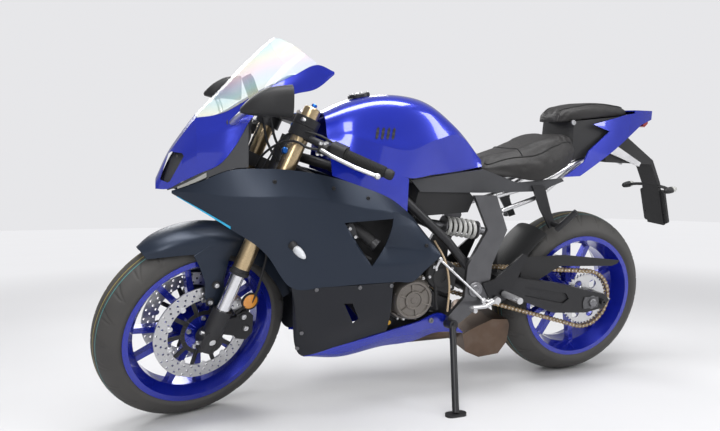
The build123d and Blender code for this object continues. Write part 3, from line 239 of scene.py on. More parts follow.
def clearScreen():  # a faint painted sheen of rainbow colours over clear plastic, a painted reflection
    made = Finish("clear_screen", (0.86, 0.9, 0.95), 0.04, IOR=1.45, Coat_Weight=0.4, Alpha=0.17)
    paintedSheen = made.part("Z") * 6.5 + made.part("X") * 2.2 + made.noise(2.4, 2) * 1.6
    wave = made.node("ShaderNodeMath", dict(operation="FRACT"), {0: paintedSheen})
    pink, straw, mint, sky = (0.95, 0.72, 0.86), (0.98, 0.93, 0.66), (0.62, 0.95, 0.92), (0.72, 0.8, 1.0)
    # painted reflection: bands of pastel colour laid into the base colour of the clear plastic
    made.feed("Base Color", made.ramp(wave, (0.0, pink), (0.3, straw), (0.55, mint), (0.8, sky), (1.0, pink)))
    return made


def heatedSteel():
    made = Finish("heated_steel", (0.17, 0.12, 0.09), 0.42, Metallic=0.9)
    bloom = made.noise(7, 5)
    soot, brown, straw = (0.06, 0.046, 0.038), (0.12, 0.082, 0.06), (0.18, 0.145, 0.12)
    made.feed("Base Color", made.ramp(bloom, (0.25, soot), (0.5, brown), (0.75, straw)))
    made.feed("Roughness", bloom * 0.3 + 0.28)
    return made.bump(made.noise(300, 3), 0.1, 0.0005)


def footMetal():  # dark heel plates; pegs and levers are silver, out from the leaning middle plane
    made = Finish("foot_controls", (0.04, 0.04, 0.042), 0.38, Metallic=0.85)
    out = made.part("Y") - made.part("Z") * 0.146
    peg = (out > 0.056) + (out < -0.306)
    made.feed("Base Color", made.mix(peg, (0.035, 0.035, 0.037), (0.55, 0.55, 0.56)))
    made.feed("Roughness", made.noise(26) * 0.12 + 0.3)
    return made.bump(made.noise(620, 4), 0.08, 0.0005)


def mirrorGlass():
    made = Finish("mirror_glass", (0.82, 0.84, 0.86), 0.03, Metallic=1.0)
    made.feed("Roughness", made.noise(30, 2) * 0.05 + 0.01)
    return made


finishes = dict(
    blue=paintBlue(), navy=navySatin(), wheel=wheelBlue(), rubber=tyreRubber(), vinyl=seatVinyl(),
    screen=clearScreen(), heated=heatedSteel(), footControls=footMetal(), mirror=mirrorGlass(),
    plastic=grained("black_plastic", (0.018, 0.018, 0.019), 0.55),
    inner=grained("grey_plastic", (0.045, 0.046, 0.05), 0.5),
    gripRubber=grained("grip_rubber", (0.014, 0.014, 0.014), 0.75, 1400, 0.4),
    darkMetal=castMetal("dark_metal", (0.028, 0.028, 0.030), 0.42, metallic=0.6),
    frameMetal=castMetal("frame_metal", (0.11, 0.11, 0.116), 0.38),
    greyMetal=castMetal("grey_metal", (0.20, 0.20, 0.21), 0.4),
    silver=castMetal("silver_metal", (0.62, 0.62, 0.63), 0.3, 700, 1.0, 0.05),
    bronzeCover=castMetal("bronze_cover", (0.17, 0.155, 0.14), 0.4, 480, 0.8),
    chainBronze=castMetal("chain_bronze", (0.27, 0.20, 0.12), 0.38, 900, 0.95, 0.08),
    blueAnodised=castMetal("blue_anodised", (0.02, 0.12, 0.45), 0.3, 600, 0.9, 0.05),
    brass=castMetal("brass_fitting", (0.62, 0.36, 0.06), 0.28, 600, 1.0, 0.05),
    gold=ground("fork_bronze", (0.52, 0.40, 0.24), 0.3, (1, 1, 14)),
    chrome=ground("fork_chrome", (0.72, 0.72, 0.74), 0.16, (1, 1, 16)),
    discSteel=ground("disc_steel", (0.55, 0.55, 0.56), 0.32, (6, 1, 6)),
    clearLens=lens("clear_lens", (0.75, 0.77, 0.8), 0.55),
    redLens=lens("red_lens", (0.30, 0.006, 0.006), 0.95),
    amberLens=lens("amber_lens", (0.75, 0.30, 0.04), 0.95, 420),
    runningLens=lens("running_lens", (0.30, 0.30, 0.28), 0.9, 320),
    smokeLens=lens("smoke_lens", (0.42, 0.42, 0.40), 0.9, 420),
    springWhite=glowPlain("spring_white", (0.62, 0.62, 0.6), 0.3),
    cyan=glowPlain("cyan_stripe", (0.01, 0.36, 0.62), 0.3),
    satinBlack=glowPlain("satin_black", (0.007, 0.008, 0.012), 0.42, 0.05, 0.3),
    lineYellow=glowPlain("yellow_line", (0.30, 0.24, 0.05), 0.6),
    lineTeal=glowPlain("teal_line", (0.05, 0.20, 0.20), 0.6),
    hoseTan=glowPlain("tan_hose", (0.36, 0.27, 0.17), 0.5),
    displayGlass=glowPlain("display_glass", (0.006, 0.007, 0.009), 0.12))
print("finishes made:", len(finishes))

nodeFinish = dict(
    rubber="front_tyre rear_tyre", wheel="front_rim rear_rim", discSteel="front_discs rear_disc rear_sprocket",
    chainBronze="chain", gold="fork_outer_tubes", chrome="fork_inner_tubes",
    darkMetal="fork_bottoms fork_clamps clip_ons front_calipers swingarm frame stand_bracket side_stand "
              "rear_caliper passenger_brackets engine_block spool_bosses",
    silver="levers front_axle rear_axle fuel_cap subframe", greyMetal="shock_body", frameMetal="pivot_plates",
    footControls="rearsets", bronzeCover="engine_covers", navy="side_fairings front_fender lower_fairings",
    blue="front_cowl fuel_tank tank_side_panels tail_cowl belly_strips",
    plastic="airbox undertray plate_holder bar_controls mirrors radiator dash brake_hoses rear_guards",
    inner="inner_cowl side_covers", heated="exhaust", springWhite="shock_spring", gripRubber="grips",
    vinyl="rider_seat pillion_seat", screen="windscreen", runningLens="front_lamps", redLens="tail_light",
    smokeLens="turn_signals")
for finish, names in nodeFinish.items():
    for name in names.split():
        slots = frame["nodes"][name].data.materials
        slots.clear()
        slots.append(finishes[finish].material)


# surfaces are grids of points, in upright millimetres
leftward = (0, 1, 0)


def smoothRows(rows, count):  # p = h00 p0 + h10 g m0 + h01 p1 + h11 g m1, slopes m by chord length g
    rows = np.asarray(rows, float)
    gaps = np.linalg.norm(np.diff(rows, axis=0).reshape(len(rows) - 1, -1), axis=1)
    shape = (-1,) + (1,) * (rows.ndim - 1)
    slope = np.diff(rows, axis=0) / gaps.reshape(shape)
    before, after = gaps[:-1].reshape(shape), gaps[1:].reshape(shape)
    slopes = np.concatenate((slope[:1], (slope[:-1] * after + slope[1:] * before) / (before + after), slope[-1:]))
    at = np.concatenate(((0,), np.cumsum(gaps)))
    t = np.linspace(0, at[-1], count)
    i = np.clip(np.searchsorted(at, t, "right") - 1, 0, len(gaps) - 1)
    f, g = ((t - at[i]) / gaps[i]).reshape(shape), gaps[i].reshape(shape)
    return ((2 * f ** 3 - 3 * f ** 2 + 1) * rows[i] + (f ** 3 - 2 * f ** 2 + f) * g * slopes[i]
            + (3 * f ** 2 - 2 * f ** 3) * rows[i + 1] + (f ** 3 - f ** 2) * g * slopes[i + 1])


def skin(rows, along, across, creases=()):  # smooth both ways, sharp along the listed columns
    rows = smoothRows(rows, along)
    ends = [0, *creases, rows.shape[1] - 1]
    bands = [smoothRows(np.swapaxes(rows[:, a:b + 1], 0, 1), across) for a, b in zip(ends, ends[1:])]
    return np.swapaxes(np.concatenate([bands[0]] + [band[1:] for band in bands[1:]]), 0, 1)


def stripRows(table):  # rows of x, then y and z from the top edge down
    table = np.asarray(table, float)
    sides = table[:, 1:].reshape(len(table), -1, 2)
    return np.concatenate((np.repeat(table[:, None, :1], sides.shape[1], 1), sides), 2)


def archRows(table):  # rows of x, crest z, then y and z down the left side
    table = np.asarray(table, float)
    left = stripRows(np.delete(table, 1, 1))
    crest = np.stack((table[:, 0], table[:, 0] * 0, table[:, 1]), 1)[:, None]
    return np.concatenate((left[:, ::-1] * (1, -1, 1), crest, left), 1)


def ring(sides):
    return np.linspace(0, 2 * np.pi, sides, endpoint=False)


def roundAxle(axle, r, y, turn):  # points at a radius, a side and an angle about an axle
    r, y, turn = np.broadcast_arrays(r, y, turn)
    return np.stack((axle[0] + r * np.cos(turn), y, axle[2] + r * np.sin(turn)), -1)


def framed(aims):  # two axes at right angles to each aim
    aims = unit(aims)
    lean = np.where(np.abs(aims[..., 2:]) < 0.9, (0.0, 0.0, 1.0), (1.0, 0.0, 0.0))
    right = unit(np.cross(lean, aims))
    return right, np.cross(aims, right), aims


def tube(path, radius, sides=12, count=0):  # p + r (cos t right + sin t up), closed at both ends
    path = smoothRows(path, count) if count else np.asarray(path, float)
    ahead = np.gradient(path, axis=0)
    lean = np.eye(3)[np.argmin(np.abs(ahead).sum(0))]
    right = unit(np.cross(ahead, lean))
    up = unit(np.cross(right, ahead))
    t = ring(sides)[None, :, None]
    wide = np.broadcast_to(np.asarray(radius, float), len(path))[:, None, None]
    walls = path[:, None] + wide * (np.cos(t) * right[:, None] + np.sin(t) * up[:, None])
    ends = [np.repeat(path[i:i + 1, None], sides, 1) for i in (0, len(path) - 1)]
    return np.concatenate((ends[0], walls, ends[1]))


def inward(xyz):  # unit normals of a skin
    normal = np.cross(*np.gradient(xyz, axis=(-3, -2)))
    return normal / (np.linalg.norm(normal, axis=-1, keepdims=True) + 1e-9)


def knob(radius, height, narrow, drop):  # profile of a disc with an eased edge
    return [(0, height), (radius - narrow, height), (radius, height - drop), (radius, 0), (0, 0)]


def hoop(inner, outer, height):  # profile of a flat ring
    return [(inner, 0), (outer, 0), (outer, height), (inner, height), (inner, 0)]


def button(radius, height, sides=12):  # profile and sides of a bolt's round head with a socket
    shape = np.array([(0, 0.4), (0.42, 0.4), (0.48, 1), (0.8, 1), (1, 0.55), (1, -0.3), (0, -0.3)])
    return shape * (radius, height), sides


def plate(outline, low, high, ease=2.0):  # a flat outline in x and z between two y, its edges eased
    outline = np.asarray(outline, float)
    middle = outline.mean(0)
    eased = outline + unit(middle - outline) * ease
    point, step = middle[None] + 0 * outline, np.sign(high - low) * ease
    levels = [(point, low), (eased, low), (outline, low + step), (outline, high - step), (eased, high), (point, high)]
    return np.stack([np.stack((xz[:, 0], np.full(len(xz), y), xz[:, 1]), 1) for xz, y in levels])


class Surface:  # grids gathered into one mesh; mark is the number of a look
    def __init__(self):
        self.points, self.faces, self.marks, self.size = [], [], [], 0

    def grid(self, xyz, closeU=False, closeV=False, mark=0, pair=False):
        xyz = np.asarray(xyz, float)
        if pair:
            xyz = np.stack((xyz, xyz * (1, -1, 1)))
        xyz = xyz.reshape(-1, *xyz.shape[-3:])
        index = np.arange(xyz.size // 3).reshape(xyz.shape[:3]) + self.size
        if closeU:
            index = np.concatenate((index, index[:, :1]), 1)
        if closeV:
            index = np.concatenate((index, index[:, :, :1]), 2)
        quads = np.stack((index[:, :-1, :-1], index[:, 1:, :-1], index[:, 1:, 1:], index[:, :-1, 1:]), -1)
        self.points.append(xyz.reshape(-1, 3))
        self.faces.append(quads.reshape(-1, 4))
        self.marks.append(np.full(quads.size // 4, mark))
        self.size += xyz.size // 3
        return self

    def sheet(self, xyz, wall, pair=False):  # a skin, its inside at p + wall n, and its rim
        inner = xyz + inward(xyz) * wall
        self.grid(np.concatenate((xyz, inner[..., ::-1, :]), -2), closeV=True, pair=pair)
        for end in (0, -1):
            self.grid(np.stack((xyz[..., end, :, :], inner[..., end, :, :]), -3), pair=pair)
        return self

    def rods(self, *paths, mark=0, pair=False, **how):
        for path in paths:
            self.grid(tube(path, **how), closeV=True, mark=mark, pair=pair)
        return self

    def slab(self, *shape, mark=0, pair=False):
        return self.grid(plate(*shape), closeV=True, mark=mark, pair=pair)

    def turn(self, profile, sides, places, aims, mark=0, pair=False):  # (r cos t, r sin t, h), h along the aims
        r, h = np.asarray(profile, float).T[:, :, None]
        t = ring(sides)[None]
        shape = np.stack((r * np.cos(t), r * np.sin(t), h + 0 * t), -1)
        places = np.atleast_2d(np.asarray(places, float))
        axes = np.stack(framed(np.broadcast_to(np.asarray(aims, float), places.shape)), 1)
        return self.grid(np.einsum("uvi,nij->nuvj", shape, axes) + places[:, None, None], closeV=True, mark=mark,
                         pair=pair)

    def turnAll(self, rows):  # rows of profile, sides, places, aims, mark and pair
        for row in rows.values():
            self.turn(*row)
        return self


def shade(mesh, angle):
    mesh.polygons.foreach_set("use_smooth", np.ones(len(mesh.polygons), bool))
    mesh.set_sharp_from_angle(angle=np.radians(angle))


def piece(name, made, looks, stands="", slot=None, angle=34, body="chassis"):
    mesh = bpy.data.meshes.new(name)
    mesh.from_pydata(parked(np.concatenate(made.points), body).tolist(), [], np.concatenate(made.faces).tolist())
    mesh.polygons.foreach_set("material_index", np.concatenate(made.marks).astype(np.int32))
    weld = bmesh.new()
    weld.from_mesh(mesh)
    bmesh.ops.remove_doubles(weld, verts=weld.verts, dist=2e-5)
    bmesh.ops.dissolve_degenerate(weld, dist=1e-6, edges=weld.edges)
    bmesh.ops.recalc_face_normals(weld, faces=weld.faces)
    weld.to_mesh(mesh)
    weld.free()
    for look in looks.split():
        mesh.materials.append(finishes[look].material)
    shade(mesh, angle)
    holder = bpy.data.objects.new(name, mesh)
    bpy.context.scene.collection.objects.link(holder)
    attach(holder, body)
    if stands:
        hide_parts(*stands.split())
    return holder


def settle(holder):  # a piece's modifiers, made permanent
    shaped = bpy.data.meshes.new_from_object(holder.evaluated_get(bpy.context.evaluated_depsgraph_get()))
    holder.modifiers.clear()
    holder.data = shaped


def carve(holder, outline, low, high, angle=34):  # cuts an outline in x and z through both sides of a piece
    cutter = piece("cutter", Surface().slab(outline, low, high, 0.01, pair=True), "plastic", slot="trim_black")
    cut = holder.modifiers.new("cut", "BOOLEAN")
    cut.object, cut.operation, cut.solver = cutter, "DIFFERENCE", "EXACT"
    cut.use_self = cut.use_hole_tolerant = True
    settle(holder)
    bpy.data.objects.remove(cutter)
    shade(holder.data, angle)


def drape(surface, xz, lift):  # points at x and z laid on a left skin: y is the mean of the nearest, by 1 / d^2
    flat = surface.reshape(-1, 3)
    flat = flat[flat[:, 1] > 0]
    xz = np.asarray(xz, float)
    away = ((xz.reshape(-1, 1, 2) - flat[None, :, ::2]) ** 2).sum(2)
    near = np.argpartition(away, 6, axis=1)[:, :6]
    weight = 1 / (np.take_along_axis(away, near, 1) + 1e-3)
    y = (flat[near, 1] * weight).sum(1) / weight.sum(1)
    return np.stack((xz[..., 0], y.reshape(xz.shape[:-1]) + lift, xz[..., 1]), -1)


# tyres: crown y = c sin s, r = R - c (1 - cos s), then bulged walls; grooves sink by d exp(-(w / b)^2)
tyres = dict(
    front=dict(axle=bike["frontAxle"], radius=300, half=60, drop=50, foot=55, grooves=24, depth=3.2, width=2.8),
    rear=dict(axle=bike["rearAxle"], radius=315, half=90, drop=60, foot=82, grooves=22, depth=3.4, width=3.0),
    bead=233.3, bulge=3, around=720, sweep=0.95, long=(0.08, 0.86), brief=(0.34, 0.72),
    lines={0.16: 1, 0.3: 2}, lineHalf=1.1, lineLift=0.35)
turn = ring(tyres["around"])[:, None]
share = np.linspace(-1, 1, 47)
reach = np.abs(share)
t = np.linspace(0, 1, 9)[1:]


def groove(tyre, phase, span):  # faded in and out over a span of the crown
    away = (phase % 1 - 0.5) * 2 * np.pi * tyre["radius"] / tyre["grooves"]
    fade = np.clip((reach - span[0]) * 20, 0, 1) * np.clip((span[1] - reach) * 16, 0, 1)
    return np.exp(-(away / tyre["width"]) ** 2) * fade


for end in ("front", "rear"):
    tyre = tyres[end]
    crown = (tyre["half"] ** 2 + tyre["drop"] ** 2) / (2 * tyre["drop"])
    lean = np.arcsin(tyre["half"] / crown)
    crownY, crownR = crown * np.sin(share * lean), tyre["radius"] - crown * (1 - np.cos(share * lean))
    wallY = tyre["half"] + (tyre["foot"] - tyre["half"]) * t + tyres["bulge"] * np.sin(np.pi * t)
    wallR = np.broadcast_to(crownR[-1] + (tyres["bead"] - crownR[-1]) * t, (len(turn), len(t)))
    phase = turn / (2 * np.pi) * tyre["grooves"] + tyres["sweep"] * reach ** 0.75 + 0.5 * (share > 0)
    long, brief = groove(tyre, phase, tyres["long"]), groove(tyre, phase + 0.45 - 0.5 * reach, tyres["brief"])
    tread = crownR - tyre["depth"] * np.maximum(long, brief)
    across = np.concatenate((-wallY[::-1], crownY, wallY))
    made = Surface().grid(roundAxle(tyre["axle"], np.concatenate((wallR[:, ::-1], tread, wallR), 1), across, turn),
                          closeU=True, closeV=True)
    for at, mark in tyres["lines"].items():
        bend = at * lean + np.array((-1, 1)) * tyres["lineHalf"] / crown
        bandR = tyre["radius"] - crown * (1 - np.cos(bend)) + tyres["lineLift"]
        made.grid(roundAxle(tyre["axle"], bandR, crown * np.sin(bend), turn), closeU=True, mark=mark, pair=True)
    piece(end + "_tyre_tread", made, "rubber lineYellow lineTeal", end + "_tyre", angle=50, body=end + "_wheel")
print("tyres made")

# discs: pierced cells between two radii; a carrier r = c + (b - c) step(arm), with bobbins and bolts
brakes = dict(
    front=dict(axle=bike["frontAxle"], face=55.3, outer=149, inner=108, pair=True, stands="front_discs"),
    rear=dict(axle=bike["rearAxle"], face=-93.3, outer=122.5, inner=92, pair=False, stands="rear_disc"),
    thick=5, cells=30, rows=3, cellHalf=0.4985, stagger=0.36, hole=3.6, arms=10, armStart=0.36, armEase=0.05,
    bore=24, hub=57, carrier=70, inset=1, overlap=3, bobbinSink=1.2, boltSink=0.8,
    bobbin=[(0, 1.6), (4.5, 1.6), (5, 2.4), (8, 2.4), (8.6, 1.6), (8.6, 0), (0, 0)], bolts=5, boltRing=48)
t, a = ring(16), ring(300)
square = np.stack((np.cos(t), np.sin(t))) / np.maximum(np.abs(np.cos(t)), np.abs(np.sin(t))) * brakes["cellHalf"]
wedge = 2 * np.pi / brakes["cells"]
row, cell = np.meshgrid(np.arange(brakes["rows"]), np.arange(brakes["cells"]), indexing="ij")
start = ((cell + row * brakes["stagger"]) * wedge).reshape(-1, 1)
arm = np.clip((np.abs((a * brakes["arms"] / (2 * np.pi)) % 1 - 0.5) - brakes["armStart"]) / brakes["armEase"], 0, 1)
bobbinTurn, boltTurn = ring(brakes["arms"]) + np.pi / brakes["arms"], ring(brakes["bolts"]) + 0.3
for end in ("front", "rear"):
    brake = brakes[end]
    axle, pair, low, high = brake["axle"], brake["pair"], brake["face"], brake["face"] + brakes["thick"]
    deep = (brake["outer"] - brake["inner"]) / brakes["rows"]
    middle = (brake["inner"] + deep * (row + 0.5)).reshape(-1, 1)
    edge = middle + deep * square[1], start + wedge * square[0]
    hole = middle + brakes["hole"] * np.sin(t), start + brakes["hole"] * np.cos(t) / middle
    loops = [roundAxle(axle, r, y, at) for (r, at), y in ((edge, high), (hole, high), (hole, low), (edge, low))]
    made = Surface().grid(np.stack(loops, 1), closeU=True, closeV=True, pair=pair)
    rim = brakes["carrier"] + (brake["inner"] + brakes["overlap"] - brakes["carrier"]) * arm
    for near, far, mark in ((brakes["bore"], brakes["hub"], 3), (brakes["hub"], rim, 1)):
        above, below = high - brakes["inset"], low + brakes["inset"]
        loops = ((near, above), (far, above), (far, below), (near, below))
        made.grid(np.stack([roundAxle(axle, r, y, a) for r, y in loops]), closeU=True, closeV=True, mark=mark,
                  pair=pair)
    out = np.sign(brake["face"])
    near = high if out > 0 else low
    bobbins = roundAxle(axle, brake["inner"] - 1, near - brakes["bobbinSink"] * out, bobbinTurn)
    bolts = roundAxle(axle, brakes["boltRing"], near - brakes["boltSink"] * out, boltTurn)
    made.turn(brakes["bobbin"], 14, bobbins, (0, out, 0), 2, pair)
    made.turn(*button(8, 6), bolts, (0, out, 0), 2, pair)
    piece(brake["stands"] + "_pierced", made, "discSteel darkMetal silver wheel", brake["stands"],
          body=end + "_wheel")
print("discs made")

# chain: pins at equal steps along two tangents and two arcs, a pair of waisted plates to each step
drive = dict(hind=(0, 315), shaft=(612, 436), pitch=15.875, rearTeeth=42, frontTeeth=16, line=106,
             plateHalf=7.2, plateSweep=125, waist=4.4, thick=0.95, outer=8.7, inner=6.5,
             rollerIn=6, pinIn=10, roller=[(0, 0), (5, 0), (5, 12), (0, 12)],
             pin=[(0, 0), (2.6, 0), (2.6, 19.6), (1.8, 20), (0, 20)])
hind, shaft = np.array(drive["hind"], float), np.array(drive["shaft"], float)
bigR, smallR = (drive["pitch"] / 2 / np.sin(np.pi / drive[key]) for key in ("rearTeeth", "frontTeeth"))
span = shaft - hind
tilt = np.arctan2(span[1], span[0])
wrap = np.arcsin((bigR - smallR) / np.hypot(*span))
leave, arrive = tilt + np.pi / 2 - wrap, tilt - np.pi / 2 + wrap
straight = np.hypot(*span) * np.cos(wrap)
frontArc, rearArc = smallR * (leave - arrive), bigR * (2 * np.pi - leave + arrive)
total = 2 * straight + frontArc + rearArc
links = 2 * round(total / drive["pitch"] / 2)
run = np.linspace(0, total, links, endpoint=False)[:, None]


def onCircle(centre, r, angle):
    return centre + r * np.concatenate((np.cos(angle), np.sin(angle)), 1)


pastTop = run - straight
pastFront = pastTop - frontArc
edges = [onCircle(c, r, np.full((1, 1), a)) for a in (leave, arrive) for c, r in ((hind, bigR), (shaft, smallR))]
pins = np.select(
    [run < straight, pastTop < frontArc, pastFront < straight],
    [edges[0] + (edges[1] - edges[0]) * run / straight, onCircle(shaft, smallR, leave - pastTop / smallR),
     edges[3] + (edges[2] - edges[3]) * pastFront / straight],
    onCircle(hind, bigR, arrive - (pastFront - straight) / bigR))
nextPins = np.roll(pins, -1, 0)
along = unit(nextPins - pins)
a = np.radians(np.linspace(-drive["plateSweep"], drive["plateSweep"], 9))
end = np.stack((drive["pitch"] / 2 + drive["plateHalf"] * np.cos(a), drive["plateHalf"] * np.sin(a)), 1)
bone = np.concatenate((end, [(0, drive["waist"])], end[::-1] * (-1, 1), [(0, -drive["waist"])]))
places = (pins + nextPins) / 2
across = np.stack((-along[:, 1], along[:, 0]), 1)
flat = places[:, None] + bone[None, :, :1] * along[:, None] + bone[None, :, 1:] * across[:, None]
centre = np.repeat(places[:, None], len(bone), 1)
offset = np.where(np.arange(links) % 2 == 0, drive["outer"], drive["inner"])[:, None]
made = Surface()
for flank in (1, -1):
    levels = [(centre, -drive["thick"]), (flat, -drive["thick"]), (flat, drive["thick"]), (centre, drive["thick"])]
    made.grid(np.stack([np.stack((xz[..., 0], drive["line"] + flank * offset + y + 0 * xz[..., 0], xz[..., 1]), -1)
                        for xz, y in levels], 1), closeV=True)
at = np.stack((pins[:, 0], np.full(links, drive["line"]), pins[:, 1]), 1)
made.turn(drive["roller"], 10, at - (0, drive["rollerIn"], 0), leftward, 1)
made.turn(drive["pin"], 8, at - (0, drive["pinIn"], 0), leftward, 1)
piece("chain_links", made, "chainBronze silver", "chain")
print("chain made:", links, "links")

# shock spring: helix p = o + c z + R (cos t x + sin t y), between collars on its damper
spring = dict(start=(572, 40, 596.8), aim=(-257, 0, -42), length=133, coils=6.2, radius=28, wire=6.0,
              collar=[(15, 0), (31, 0), (33, 2), (33, 5), (30, 7), (20, 8), (15, 8), (15, 0)],
              collars=(-2, 127), damper=hoop(15, 17, 128))
right, up, aim = framed(spring["aim"])
t = np.linspace(0, 1, 260)[:, None]
w = 2 * np.pi * spring["coils"] * t
start = np.array(spring["start"])
coil = start + aim * (spring["wire"] + (spring["length"] - 2 * spring["wire"]) * t)
coil = coil + spring["radius"] * (np.cos(w) * right + np.sin(w) * up)
made = Surface().rods(coil, radius=spring["wire"], sides=10)
made.turn(spring["collar"], 28, start + aim * np.array(spring["collars"])[:, None], aim, 1)
made.turn(spring["damper"], 20, start + aim * 2, aim, 2)
piece("shock_coil", made, "springWhite greyMetal darkMetal", "shock_spring")
print("spring made")

# bodywork: smooth skins through rows across the bike, each with its inside and rim
wall = 4


def panel(name, surface, looks, stands="", pair=True, **how):
    return piece(name, Surface().sheet(surface, wall, pair), looks, stands, **how)


def lineAt(x, a, b):
    return a[1] + (b[1] - a[1]) * (x - a[0]) / (b[0] - a[0])


# side fairing; the pocket behind its opening sinks between the top, deep and low lines
sideRows = [
    (1456, 66, 722, 68, 719.5, 67.5, 717, 66, 714), (1385, 112, 750, 117, 722, 113, 694, 108, 674),
    (1300, 147, 788, 158, 716, 152, 660, 144, 622), (1200, 166, 795, 188, 718, 186, 640, 175, 548),
    (1136, 172, 793, 197, 720, 197, 610, 186, 455), (1024, 175, 776, 205, 708, 208, 590, 197, 449),
    (914, 168, 744, 200, 684, 206, 580, 198, 451), (800, 158, 695, 188, 664, 199, 570, 196, 451),
    (745, 152, 652, 174, 636, 194, 556, 194, 449), (700, 166, 596, 179, 586, 190, 543, 190, 484),
    (650, 181, 536, 184, 532, 186, 528, 186, 522)]
pocket = dict(depth=34, rear=684, top=((979, 643), (700, 618)), deep=((831, 562), (684, 541)), low=504, power=1.2,
              front=887, frontAt=502, frontSlope=0.652, frontEase=8,
              opening=[(979, 643), (820, 650), (832, 562), (886, 506)])
sideSkin = skin(stripRows(sideRows), 150, 34, (1,))
x, z = sideSkin[..., 0], sideSkin[..., 2]
topZ, deepZ = lineAt(x, *pocket["top"]), lineAt(x, *pocket["deep"])
fall = np.minimum((topZ - z) / (topZ - deepZ), (z - pocket["low"]) / (deepZ - pocket["low"]))
fade = np.clip((x - pocket["rear"]) / (pocket["deep"][0][0] - pocket["rear"]), 0, 1)
front = pocket["front"] + (z - pocket["frontAt"]) * pocket["frontSlope"]
edge = np.clip((front - x) / pocket["frontEase"], 0, 1)
sideSkin[..., 1] -= pocket["depth"] * np.clip(fall, 0, 1) ** pocket["power"] * fade * edge
carve(panel("side_fairing_skins", sideSkin, "navy", "side_fairings"), pocket["opening"], 120, 260)

# lower fairing with its vent, and the belly strip
lowerRows = [(1128, 187, 453, 186, 448, 185, 444), (1086, 191, 448, 178, 330, 128, 212),
             (960, 197, 448, 186, 330, 134, 234), (880, 197.5, 449.5, 187, 345, 146, 257),
             (812, 196, 450, 186, 355, 158, 277)]
vent = [(968, 392), (941, 391), (918, 338), (934, 322)]
lowerSkin = skin(stripRows(lowerRows), 56, 30)
carve(panel("lower_fairing_skins", lowerSkin, "satinBlack", "lower_fairings"), vent, 60, 260)
bellyRows = [(1075, 126, 208, 118, 202), (960, 134, 233, 116, 188), (812, 158, 275, 122, 212),
             (700, 152, 297, 116, 216), (616, 146, 318, 118, 240), (521, 134, 240, 126, 233)]
bellyBow = 5
bellySkin = skin(stripRows(bellyRows), 60, 12)
bellySkin[..., 1] += bellyBow * np.sin(np.pi * np.linspace(0, 1, bellySkin.shape[1]))
panel("belly_strip_skins", bellySkin, "blue", "belly_strips")

innerRows = [(1468, 58, 726, 58, 722), (1387, 108, 771, 110, 752), (1320, 141, 810, 141, 783),
             (1285, 149, 856, 150, 794), (1250, 155, 920, 157, 798)]
panel("inner_cowl_skins", skin(stripRows(innerRows), 48, 12), "inner", "inner_cowl")

# nose of the front cowl, open for the lamp in its dark lining
noseRows = [(1500, 752, 18, 749, 34, 740, 40, 724), (1465, 828, 40, 820, 60, 782, 62, 727),
            (1430, 882, 55, 873, 80, 824, 84, 748), (1387, 941, 72, 930, 103, 860, 108, 772)]
lampOpening = [(1421, 822), (1426, 830), (1455, 832), (1462, 826), (1487, 752), (1466, 744), (1460, 748)]
lining = dict(about=(1387, 0, 772), scale=(0.93, 0.55, 0.9), to=(1385, 0, 768))
noseSkin = skin(archRows(noseRows), 44, 8, (2, 4))
nose = panel("nose_cowl", noseSkin, "blue", pair=False, slot="body_blue")
carve(nose, lampOpening, 7, 130, 30)
lampLining = (noseSkin - lining["about"]) * lining["scale"] + lining["to"]
panel("lamp_lining", lampLining, "inner", pair=False, slot="trim_black")

# wings of the cowl; a raised crease, h exp(-(d / b)^2), runs back from the nose's cheek
wingRows = [(1387, 72, 930, 103, 860, 108, 772), (1320, 112, 943, 134, 885, 142, 811),
            (1285, 128, 962, 144, 912, 150, 857), (1242, 146, 990, 155, 962, 160, 934),
            (1126, 164, 1056, 170, 1030, 172, 1004), (1061, 169, 1088, 174, 1056, 176, 1024),
            (1013, 173, 1072, 175, 1068, 174, 1064)]
crease = dict(front=1387, frontZ=868, slope=0.42, wide=9, high=2.5, rear=1270)
wingSkin = skin(stripRows(wingRows), 72, 16)
back = crease["front"] - wingSkin[..., 0]
ridge = np.exp(-((wingSkin[..., 2] - (crease["frontZ"] + crease["slope"] * back)) / crease["wide"]) ** 2)
fade = np.clip(back / 30, 0, 1) * np.clip((wingSkin[..., 0] - crease["rear"]) / 40, 0, 1)
wingSkin[..., 1] += crease["high"] * ridge * fade
panel("cowl_wings", wingSkin, "blue", "front_cowl")

# windscreen: arcs from base to crest, cut along a slanted line
screen = dict(rows=[(1386, 68, 933, 943), (1320, 111, 946, 1012), (1242, 145, 992, 1098), (1126, 163, 1058, 1205),
                    (1061, 168, 1090, 1255)], top=(1165, 1173), corner=(1061, 1090), wall=3)
screenFront, screenRear = screen["rows"][0][0], screen["rows"][-1][0]
fine = smoothRows(screen["rows"], 200)[::-1]
share = np.linspace(-1, 1, 41)


def screenAt(x):
    y, base, crest = (np.interp(x, fine[:, 0], fine[:, k]) for k in (1, 2, 3))
    lift = crest - base
    r = (y ** 2 + lift ** 2) / (2 * lift)
    half = np.arcsin(np.clip(y / r, -1, 1))
    swing = share * np.where(lift < r, half, np.pi - half)
    return np.stack((x, r * np.sin(swing), crest - r + r * np.cos(swing)), -1)


back = np.linspace(screenFront, screenRear, 260)[:, None] + 0 * share
over = screenAt(back)[..., 2] - lineAt(back, screen["corner"], screen["top"])
stop = back[np.where((over > 0).any(0), np.argmax(over > 0, 0), len(back) - 1), np.arange(len(share))]
screenSkin = screenAt(screenFront + (stop - screenFront) * np.linspace(0, 1, 44)[:, None])
piece("windscreen_bubble", Surface().sheet(screenSkin, screen["wall"]), "screen", "windscreen")
print("cowl and screen made")

